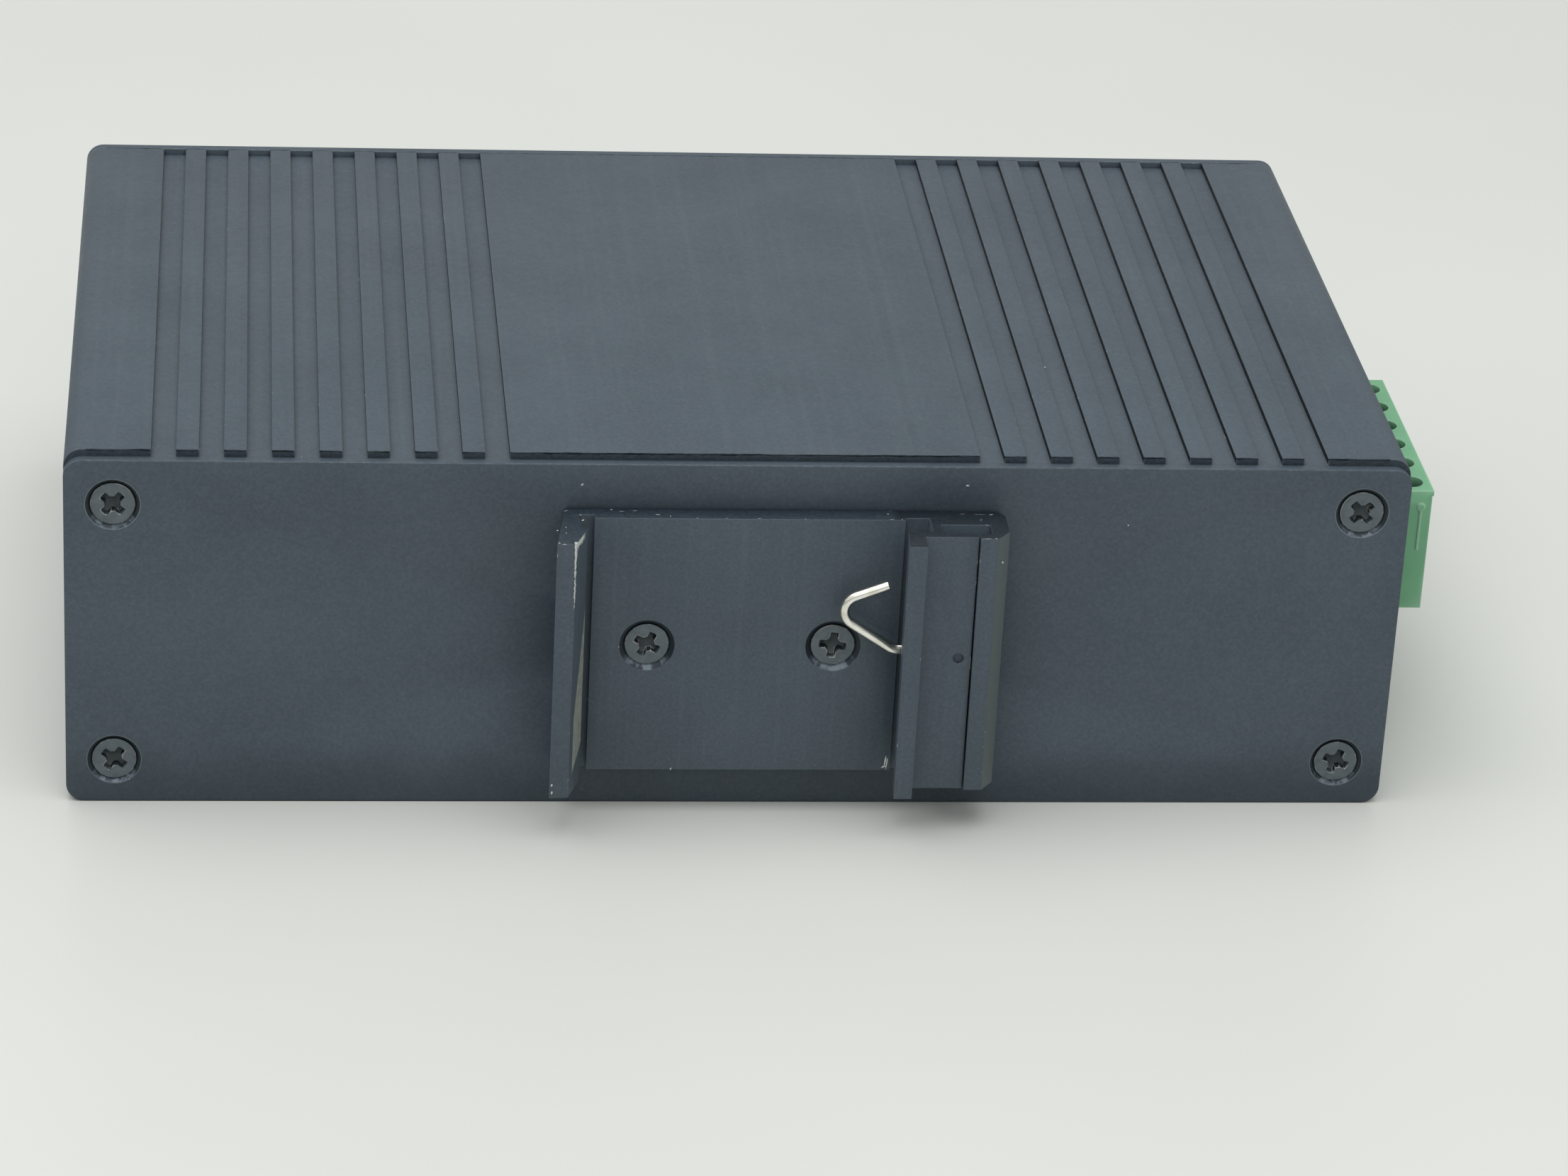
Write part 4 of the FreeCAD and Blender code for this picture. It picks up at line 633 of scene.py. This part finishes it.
def softened(node, name, finish, body, width_mm):
    """A copy of a solid with its points merged, its flat faces joined and its sharp edges rounded.

    Each sharp edge becomes two narrow faces, which are marked for worn_edge().
    """
    shape = bmesh.new()
    shape.from_mesh(NODES[node].data)
    bmesh.ops.remove_doubles(shape, verts=shape.verts, dist=SAME_POINT * MM)
    bmesh.ops.dissolve_limit(shape, angle_limit=math.radians(FLAT_DEGREES), verts=shape.verts,
                             edges=shape.edges)
    edges = [edge for edge in shape.edges
             if edge.is_manifold and edge.calc_face_angle() > math.radians(SHARP_DEGREES)]
    mark = shape.faces.layers.float.new(ROUNDED_EDGE)
    bevelled = bmesh.ops.bevel(shape, geom=edges, offset=width_mm * MM, offset_type="OFFSET", segments=2,
                               profile=0.5, affect="EDGES", clamp_overlap=True)
    for face in bevelled["faces"]:
        face[mark] = 1.0
    bmesh.ops.triangulate(shape, faces=[face for face in shape.faces if len(face.verts) > 4])
    mesh = bpy.data.meshes.new(name)
    shape.to_mesh(mesh)
    shape.free()
    settle(name, mesh, finish, body, (node,))


softened("housing_sleeve", "sleeve", SLEEVE_COAT, "housing", 0.06)
softened("rear_plate", "plate_rear", PLATE_COAT, "housing", 0.05)
softened("front_plate", "plate_front", PLATE_COAT, "housing", 0.05)
softened("din_clip", "rail_clip", CLIP_COAT, "housing", 0.05)
softened("terminal_plug", "plug_moulding", GREEN_FINISH, "power_plug", 0.10)
softened("clamp_screws", "slotted_screws", STEEL_FINISH, "power_plug", 0.08)


# ---------------------------------------- torn edges of the sawn ribs

RIB_END = 43.05
RIB_PITCH = 5.0
RIB_WIDTH = 2.4
LAST_RIB = 60.0
RIBS_A_SIDE = 7
CENTRE_LAND = 25.0
OUTER_LAND = (62.6, 69.4)
BURR_STEP = 0.12
# how far a torn lip reaches down the end face, back over the top, and out: the least, and what chance adds
BURR_DROP = (0.05, 0.18)
BURR_LAP = (0.03, 0.20)
BURR_BULGE = (0.012, 0.05)
# its root inside the rib: how far back and how deep, and how proud of the top its lap lies
BURR_ROOT = 0.1
BURR_KEEL = 0.05
BURR_PROUD = 0.006
SLOW_SHARE = 0.65


def wander(count, rng, coarse):
    """Values from 0 to 1 that wander: chance at every coarse-th point joined by lines, plus fine chance."""
    knots = rng.random(count // coarse + 2)
    slow = np.interp(np.arange(count) / coarse, np.arange(len(knots)), knots)
    return SLOW_SHARE * slow + (1 - SLOW_SHARE) * rng.random(count)


def burr(start, end, side, rng):
    """The torn lip along the top edge of one sawn rib end.

    Along x it has a ring of seven points at each step. A ring wraps the edge: from a point down the
    end face, over the edge, back over the top and home inside the rib, by lengths that wander.
    """
    x = np.arange(start, end, BURR_STEP)
    count = len(x)
    drop = BURR_DROP[0] + BURR_DROP[1] * wander(count, rng, 7)
    lap = BURR_LAP[0] + BURR_LAP[1] * wander(count, rng, 4) ** 2
    bulge = BURR_BULGE[0] + BURR_BULGE[1] * wander(count, rng, 3) ** 2
    level = np.ones(count)
    out = [bulge * 0.2, bulge, bulge * 0.9, -lap * 0.5, -lap, -lap, -BURR_ROOT * level]
    rise = [-drop, -drop * 0.5, bulge * 0.3, bulge * 0.5, BURR_PROUD * level, -BURR_KEEL * level, -drop]
    rings = np.stack([np.repeat(x[:, None], len(out), axis=1), side * (RIB_END + np.stack(out, axis=1)),
                      RIB_TOP + np.stack(rise, axis=1)], axis=-1)
    return capped_tube(rings)


def make_burrs():
    """Torn lips on every rib and land, at the rear end and at the front end of the sleeve."""
    rng = np.random.default_rng(11)
    lands = [(-CENTRE_LAND, CENTRE_LAND), (-OUTER_LAND[1], -OUTER_LAND[0]), OUTER_LAND]
    for number in range(RIBS_A_SIDE):
        outer = LAST_RIB - number * RIB_PITCH
        lands += [(outer - RIB_WIDTH, outer), (-outer, RIB_WIDTH - outer)]
    shells = [burr(start, end, side, rng) for side in (-1, 1) for start, end in lands]
    points, faces = gathered(shells)
    settle("sawn_burrs", shell_mesh("sawn_burrs", points, faces), BURR_FINISH, "housing")


make_burrs()


# ---------------------------------------- cross-head screws

SEAT_RADIUS = 2.65
HEAD_RADIUS = 2.38
HEAD_SUNK = 0.08
SHANK_RADIUS = 1.5
RIM = 0.12
# rings of the head's rim: how far inside its radius, and how deep
RIM_RINGS = ((0.01, 0.06), (0.0, RIM))
CROWN = 0.03
FILLET = 0.2
CROSS_SPAN = 3.0
CROSS_WIDTH = 0.9
CROSS_DEPTH = 1.25
# from the end of a slot inwards its floor runs level for a lip, and then falls over a ramp
CROSS_LIP = 0.02
CROSS_RAMP = 0.2
CENTRE_RADIUS = 0.85
CENTRE_WALL = 0.06
# rings over the head's face: in the round centre, across the slots, and outside the cross
CENTRE_RINGS = (0.06, 0.35, 0.62, CENTRE_RADIUS - CENTRE_WALL, CENTRE_RADIUS)
SLOT_RINGS = (1.1,)
OUTER_RINGS = (1.8, 2.05, 2.2, 2.33)
THREAD_PITCH = 0.5
THREAD_DEPTH = 0.27
THREAD_START = 0.1
POINT_LENGTH = 0.5
# rings of the point: how much narrower than the shank, and how far from its end
POINT_RINGS = ((0.35, 0.2), (0.6, 0.0))
SPOKES_IN_SLOT = (0.0, 0.45, 0.86, 1.0)
SPOKES_BETWEEN = 7
WIDEST_HALF_SLOT = math.radians(40)


def cross_angles(radius):
    """Angles of the spokes at each ring of the head, an array of rings by spokes.

    Half a slot covers the angle whose sine is its half width over the ring's radius, at most 40
    degrees, so that the first spokes stay on the slot's straight sides. The rest of each eighth
    turn is shared evenly.
    """
    half_slot = np.arcsin(np.clip(CROSS_WIDTH / 2 / radius, 0, math.sin(WIDEST_HALF_SLOT)))
    inside = half_slot[:, None] * np.array(SPOKES_IN_SLOT)[None, :]
    steps = np.arange(1, SPOKES_BETWEEN + 1) / (SPOKES_BETWEEN + 1)
    outside = half_slot[:, None] + (math.pi / 2 - 2 * half_slot[:, None]) * steps[None, :]
    quarter = np.concatenate([inside, outside, math.pi / 2 - inside[:, :0:-1]], axis=1)
    return np.concatenate([quarter + turn * math.pi / 2 for turn in range(4)], axis=1)


def head_face():
    """(radii, angles, depths) of the rings over a head's face, with the cross let down into it.

    A point is let down where it lies inside a slot and inside the span, or inside the round centre.
    The floor falls from nothing at the span's end to its full depth in the middle, and the face
    itself falls towards its rim by the fourth power of the radius.
    """
    reach = CROSS_SPAN / 2
    ramp = reach - CROSS_LIP - CROSS_RAMP
    radii = np.array([*CENTRE_RINGS, *SLOT_RINGS, ramp, reach - CROSS_LIP, reach + CROSS_LIP, *OUTER_RINGS])
    angles = cross_angles(radii)
    quarter = angles.shape[1] // 4
    slots = len(SPOKES_IN_SLOT)
    spoke = np.arange(angles.shape[1]) % quarter
    in_slot = (spoke < slots - 1) | (spoke > quarter - slots + 1)
    floor = np.interp(radii, [0.0, CENTRE_RADIUS, ramp, reach - CROSS_LIP, reach],
                      [CROSS_DEPTH, CROSS_DEPTH * 0.75, CROSS_DEPTH * 0.5, 0.0, 0.0])
    in_centre = radii < CENTRE_RADIUS - CENTRE_WALL / 2
    down = np.where(in_slot[None, :] | in_centre[:, None], floor[:, None], 0.0)
    crown = CROWN * (radii / HEAD_RADIUS) ** 4
    return radii, angles, crown[:, None] + down


def screw_shell(length):
    """A countersunk cross-head screw, head face at y = 0 and shank along +y, in mm.

    Rings of points follow one profile: out over the head's face, down its cone and along a
    threaded shank, whose radius rises and falls as a triangle wave of the height less the turn.
    """
    face_radii, face_angles, face_depths = head_face()
    cone = HEAD_RADIUS - SHANK_RADIUS
    sides = np.array([[HEAD_RADIUS - inside, deep] for inside, deep in RIM_RINGS]
                     + [[SHANK_RADIUS + FILLET, cone], [SHANK_RADIUS, cone + RIM]])
    first, last = cone + RIM + THREAD_START, length - POINT_LENGTH
    heights = np.linspace(first, last, int((last - first) / THREAD_PITCH) * 4 + 1)
    thread = np.stack([np.full(len(heights), SHANK_RADIUS), heights], axis=1)
    tail = np.array([[SHANK_RADIUS - less, length - short] for less, short in POINT_RINGS])
    rest = np.concatenate([sides, thread, tail])

    columns = face_angles.shape[1]
    angles = np.concatenate([face_angles, np.repeat(face_angles[-1:], len(rest), axis=0)])
    radii = np.repeat(np.concatenate([face_radii, rest[:, 0]])[:, None], columns, axis=1)
    depths = np.concatenate([face_depths, np.repeat(rest[:, 1:], columns, axis=1)])
    rows = slice(len(face_radii) + len(sides), len(radii) - len(tail))
    phase = (depths[rows] / THREAD_PITCH - angles[rows] / (2 * math.pi)) % 1.0
    radii[rows] -= THREAD_DEPTH * np.abs(2 * phase - 1)
    return capped_tube(np.stack([radii * np.cos(angles), depths, radii * np.sin(angles)], axis=-1))


def turned_about_y(points, degrees):
    """Points turned about the y axis."""
    angle = math.radians(degrees)
    across, up = math.cos(angle), math.sin(angle)
    turn = np.array([[across, 0, up], [0, 1, 0], [-up, 0, across]])
    return points @ turn.T


def screw_group(name, node, length, turns, backwards=False):
    """Cross-head screws at the corners or the ends of the node's box, each turned by its angle.

    The box reaches SEAT_RADIUS past the screws' axes, and the heads sit HEAD_SUNK below its face.
    """
    points, faces = screw_shell(length)
    low, high = [np.array(corner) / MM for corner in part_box(node)]
    levels = sorted({round(low[2] + SEAT_RADIUS, 4), round(high[2] - SEAT_RADIUS, 4)})
    places = [(x, z) for z in levels for x in (low[0] + SEAT_RADIUS, high[0] - SEAT_RADIUS)]
    head_y = high[1] - HEAD_SUNK if backwards else low[1] + HEAD_SUNK
    flip = np.array([-1, -1, 1]) if backwards else np.array([1, 1, 1])
    shells = [(turned_about_y(points, degrees) * flip + np.array([x, head_y, z]), faces)
              for (x, z), degrees in zip(places, turns)]
    mesh = shell_mesh(name, *gathered(shells))
    settle(name, mesh, SCREW_FINISH, "housing", (node,), sharp=30)


screw_group("cross_screws_rear", "rear_plate_screws", 8.0, (36, 24, 42, 47))
screw_group("cross_screws_front", "front_plate_screws", 8.0, (8, 24, 40, 52), backwards=True)
screw_group("cross_screws_clip", "clip_screws", 6.0, (30, 7))


# ---------------------------------------- wire spring

WIRE_RADIUS = 0.55
WIRE_SIDES = 24
# corners of the wire from the inner end of its straight leg, along x and up, and their radii
WIRE_CORNERS = ((0.0, 0.0), (-7.8, 0.0), (-15.35, 5.0), (-8.6, 7.55))
WIRE_BENDS = (1.8, 1.8)
# the cropped ends: a short collar, a little narrower
COLLAR_LENGTH = 0.06
COLLAR_STEP = 0.05


def rounded_route(corners, radii, steps=14):
    """Points along straight runs whose corners are arcs of the given radii, all in one plane.

    The centre of an arc lies on the line that halves its corner, at the radius over the sine of the
    half angle, and its points turn evenly from the end of one run to the start of the next.
    """
    route = [corners[0]]
    for before, corner, after, radius in zip(corners, corners[1:], corners[2:], radii):
        back = (before - corner) / np.linalg.norm(before - corner)
        ahead = (after - corner) / np.linalg.norm(after - corner)
        half = math.acos(float(back @ ahead)) / 2
        middle = (back + ahead) / np.linalg.norm(back + ahead)
        centre = corner + middle * radius / math.sin(half)
        first = corner + back * radius / math.tan(half) - centre
        last = corner + ahead * radius / math.tan(half) - centre
        share = np.linspace(0, 1, steps)[:, None]
        sweep = math.pi - 2 * half
        arc = (np.sin((1 - share) * sweep) * first + np.sin(share * sweep) * last) / math.sin(sweep)
        route.extend(centre + arc)
    route.append(corners[-1])
    return np.array(route)


def tube_rings(route, radius, sides, normal):
    """Rings of a round tube along a flat route: each lies across the route's direction there.

    A point of a ring is the route's point plus the radius times the cosine of its angle along the
    way across and the sine along the flat route's normal.
    """
    direction = np.gradient(route, axis=0)
    direction /= np.linalg.norm(direction, axis=1)[:, None]
    across = np.cross(direction, normal)
    angles = np.linspace(0, 2 * math.pi, sides, endpoint=False)
    offsets = (np.cos(angles)[None, :, None] * across[:, None, :]
               + np.sin(angles)[None, :, None] * np.array(normal)[None, None, :])
    return route[:, None, :] + np.reshape(radius, (-1, 1, 1)) * offsets


def make_wire():
    """The nickel wire: its straight leg lies in the clip's slot and its V over the clip's base."""
    low, high = [np.array(corner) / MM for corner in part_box("clip_spring")]
    start = np.array([high[0], low[1] + WIRE_RADIUS, low[2] + WIRE_RADIUS])
    corners = [start + np.array([across, 0.0, up]) for across, up in WIRE_CORNERS]
    route = rounded_route(corners, WIRE_BENDS)
    for end, inner in ((0, 1), (-1, -2)):
        along = (route[inner] - route[end]) / np.linalg.norm(route[inner] - route[end])
        extra = route[end] + along * COLLAR_LENGTH
        route = np.insert(route, 1 if end == 0 else len(route) - 1, extra, axis=0)
    radii = np.full(len(route), WIRE_RADIUS)
    radii[[0, -1]] = WIRE_RADIUS - COLLAR_STEP
    points, faces = capped_tube(tube_rings(route, radii, WIRE_SIDES, (0.0, 1.0, 0.0)))
    mesh = shell_mesh("bent_wire", points, faces)
    settle("bent_wire", mesh, WIRE_FINISH, "wire_spring", ("clip_spring",), sharp=25)


make_wire()


# ---------------------------------------- flecks of bare metal

FLECK_SIDES = 9
FLECK_PROUD = 0.003
FLECK_RISE = 0.012
# the least that a fleck's points reach, and what chance adds
FLECK_REACH = (0.6, 0.55)
X_WAY, Y_WAY, Z_WAY = np.eye(3)
# on the clip's upper end: along x, out from the plate, half length, half width, turn in degrees
END_FLECKS = (
    (-14.22, 0.15, 0.19, 0.14, 0), (-13.10, 0.55, 0.30, 0.04, 8), (-11.70, 0.40, 0.41, 0.04, 0),
    (-9.36, 1.28, 0.35, 0.06, -12), (-8.02, 1.66, 0.07, 0.18, 0), (-17.36, 2.80, 0.27, 0.14, 60),
    (-17.54, 1.53, 0.12, 0.11, 0), (-19.02, 0.52, 0.35, 0.06, 35), (-20.15, 5.40, 0.14, 0.12, 40),
    (-20.10, 8.45, 0.14, 0.14, 0), (-19.60, 8.78, 0.30, 0.08, 0), (-19.23, 4.60, 0.09, 0.15, 0),
    (-19.27, 5.97, 0.08, 0.12, 0), (15.22, 0.76, 0.08, 0.18, 20), (15.50, 2.05, 0.41, 0.04, 0),
    (16.60, 2.10, 0.08, 0.09, 0), (23.25, 0.63, 0.34, 0.03, 0), (25.10, 0.70, 0.81, 0.03, 0),
    (26.30, 0.75, 0.30, 0.08, 10), (25.06, 2.08, 0.16, 0.06, 40), (25.50, 3.39, 0.19, 0.06, -40),
    (25.20, 6.70, 0.61, 0.04, 0), (26.15, 6.66, 0.19, 0.09, 0), (-5.20, 2.12, 0.16, 0.06, 0),
    (-2.10, 2.16, 0.08, 0.06, 0), (1.40, 2.10, 0.27, 0.04, 5), (6.30, 2.14, 0.11, 0.08, 0),
)
# on faces that look out from the plate: along x, up, out from the plate, half length, half width, turn
FRONT_FLECKS = (
    (-17.38, 38.01, 0.0, 0.22, 0.12, 40), (23.65, 38.22, 0.0, 0.26, 0.10, 0),
    (27.00, 32.37, 6.55, 0.13, 0.15, 0), (16.45, 6.30, CLIP_BASE_OUT, 0.98, 0.10, 82),
    (16.62, 5.95, CLIP_BASE_OUT, 0.86, 0.08, 84), (16.30, 5.60, CLIP_BASE_OUT, 0.32, 0.12, 20),
    (-20.05, 5.85, HOOK_OUT, 0.23, 0.14, 80), (-20.10, 6.75, HOOK_OUT, 0.23, 0.10, 80),
    (-6.86, 5.28, CLIP_BASE_OUT, 0.20, 0.08, 60), (41.30, 33.70, 0.0, 0.11, 0.08, 0),
)


def fleck(place, half_length, half_width, degrees, side_way, outward, rng):
    """A thin chip on a flat face: a ring of points at uneven reach, and a pole above and below it.

    Its length runs along x, turned by the angle towards side_way.
    """
    turn = math.radians(degrees)
    along = math.cos(turn) * X_WAY + math.sin(turn) * side_way
    across = math.cos(turn) * side_way - math.sin(turn) * X_WAY
    centre = np.array(place) + FLECK_PROUD * outward
    angles = np.linspace(0, 2 * math.pi, FLECK_SIDES, endpoint=False)
    reach = FLECK_REACH[0] + FLECK_REACH[1] * rng.random(FLECK_SIDES)
    ring = (centre + (reach * np.cos(angles) * half_length)[:, None] * along
            + (reach * np.sin(angles) * half_width)[:, None] * across)
    points = np.concatenate([ring, [centre + FLECK_RISE * outward], [centre - FLECK_RISE * outward]])
    faces = []
    for pole in (FLECK_SIDES, FLECK_SIDES + 1):
        faces += [[side, (side + 1) % FLECK_SIDES, pole] for side in range(FLECK_SIDES)]
    return points, faces


def make_flecks():
    """Bright nicks in the black skin, mostly on the clip's sawn end and where the rail rubs."""
    rng = np.random.default_rng(5)
    shells = [fleck((x, PLATE_Y - out, CLIP_TOP), *shape, Y_WAY, Z_WAY, rng)
              for x, out, *shape in END_FLECKS]
    shells += [fleck((x, PLATE_Y - out, z), *shape, Z_WAY, -Y_WAY, rng)
               for x, z, out, *shape in FRONT_FLECKS]
    mesh = shell_mesh("bare_flecks", *gathered(shells))
    settle("bare_flecks", mesh, FLECK_FINISH, "housing")


make_flecks()


# ---------------------------------------- floor, light and camera

# the floor, in metres: how far it runs flat, and the radius that it curves up by
FLOOR_RUN = 3.0
FLOOR_BEND = 1.2
FLOOR_FLAT_SHARE = 0.7
FLOOR_RINGS = 60
FLOOR_SIDES = 96
SKY_STRENGTH = 0.54
# the camera, in metres, and its lens, in mm
CAMERA_PLACE = (-0.05275, -0.5522, 0.2743)
CAMERA_RIGHT = (0.9949, -0.0883, 0.0494)
CAMERA_AHEAD = (0.1010, 0.8940, -0.4370)
LENS_LENGTH = 121.97
SENSOR_WIDTH = 36.0


def make_floor():
    """A wide pale studio floor, flat round the part and then curving up a quarter turn.

    Its rings widen evenly over the flat share, and then follow the sine and cosine of the bend.
    """
    material, tree, shader, place = blank_finish("studio_floor")
    cloud = add(tree, "TexNoise", {"Vector": place, "Scale": 1 / 120, "Detail": 3.0})
    tone = add(tree, "MapRange", {"Value": cloud, **NOISE_RANGE})
    colour = add(tree, "Mix", {SHARE: tone, FIRST: "#dfe1da", SECOND: "#e4e6df"}, **COLOUR_MIX)
    feed(tree, shader, {"Base Color": colour, "Roughness": 0.38, "Specular IOR Level": 0.35})
    reach = np.linspace(0, 1, FLOOR_RINGS)
    run = FLOOR_RUN * np.minimum(reach / FLOOR_FLAT_SHARE, 1.0)
    bend = np.clip((reach - FLOOR_FLAT_SHARE) / (1 - FLOOR_FLAT_SHARE), 0, 1) * math.pi / 2
    radius = run + FLOOR_BEND * np.sin(bend)
    height = FLOOR_BEND * (1 - np.cos(bend))
    angles = np.linspace(0, 2 * math.pi, FLOOR_SIDES, endpoint=False)
    points = np.stack([radius[:, None] * np.cos(angles), radius[:, None] * np.sin(angles),
                       np.repeat(height[:, None], len(angles), axis=1)], axis=-1).reshape(-1, 3)
    mesh = bpy.data.meshes.new("floor")
    mesh.from_pydata(points.tolist(), [], grid_faces(len(reach), len(angles)).tolist())
    mesh.shade_smooth()
    mesh.materials.append(material)
    floor = bpy.data.objects.new("floor", mesh)
    bpy.context.scene.collection.objects.link(floor)


def make_world(strength):
    """Even light from all round. The camera, mirrors and clear things see a plain pale backdrop."""
    world = bpy.data.worlds.new("studio")
    bpy.context.scene.world = world
    world.use_nodes = True
    tree = world.node_tree
    tree.nodes.clear()
    rays = add(tree, "LightPath", out="Is Camera Ray")
    seen = add(tree, "Math", {0: rays.node.outputs["Is Glossy Ray"],
                              1: rays.node.outputs["Is Transmission Ray"]}, operation="MAXIMUM")
    seen = add(tree, "Math", {0: rays, 1: seen}, operation="MAXIMUM")
    lit = add(tree, "Background", {"Color": "#f4f6fa", "Strength": strength})
    shown = add(tree, "Background", {"Color": "#e3e5df", "Strength": 1.0})
    mixed = add(tree, "MixShader", {0: seen, 1: lit, 2: shown})
    add(tree, "OutputWorld", {"Surface": mixed})


def soft_box(name, place, aim, width, height, watts):
    """A rectangular soft light at place, turned to shine at aim."""
    light = bpy.data.lights.new(name, "AREA")
    light.shape = "RECTANGLE"
    light.size = width
    light.size_y = height
    light.energy = watts
    lamp = bpy.data.objects.new(name, light)
    lamp.location = place
    lamp.rotation_euler = (Vector(aim) - Vector(place)).to_track_quat("-Z", "Y").to_euler()
    bpy.context.scene.collection.objects.link(lamp)


def make_camera():
    """The view over the rear plate and the grooved face, 26 degrees down."""
    camera = bpy.data.cameras.new("camera")
    camera.lens = LENS_LENGTH
    camera.sensor_width = SENSOR_WIDTH
    right = Vector(CAMERA_RIGHT).normalized()
    ahead = Vector(CAMERA_AHEAD).normalized()
    up = right.cross(ahead).normalized()
    right = ahead.cross(up)
    view = bpy.data.objects.new("camera", camera)
    view.matrix_world = Matrix.Translation(CAMERA_PLACE) @ Matrix(
        ((right.x, up.x, -ahead.x), (right.y, up.y, -ahead.y), (right.z, up.z, -ahead.z))).to_4x4()
    bpy.context.scene.collection.objects.link(view)
    bpy.context.scene.camera = view


make_floor()
make_world(SKY_STRENGTH)
soft_box("overhead_box", place=(-0.17, -0.15, 1.15), aim=(0.0, 0.0, 0.0), width=1.3, height=1.1, watts=9.3)
soft_box("front_box", place=(0.1, -1.1, 0.75), aim=(0.0, 0.0, 0.02), width=1.0, height=0.5, watts=1.6)
make_camera()
bpy.context.scene.view_settings.view_transform = "Standard"
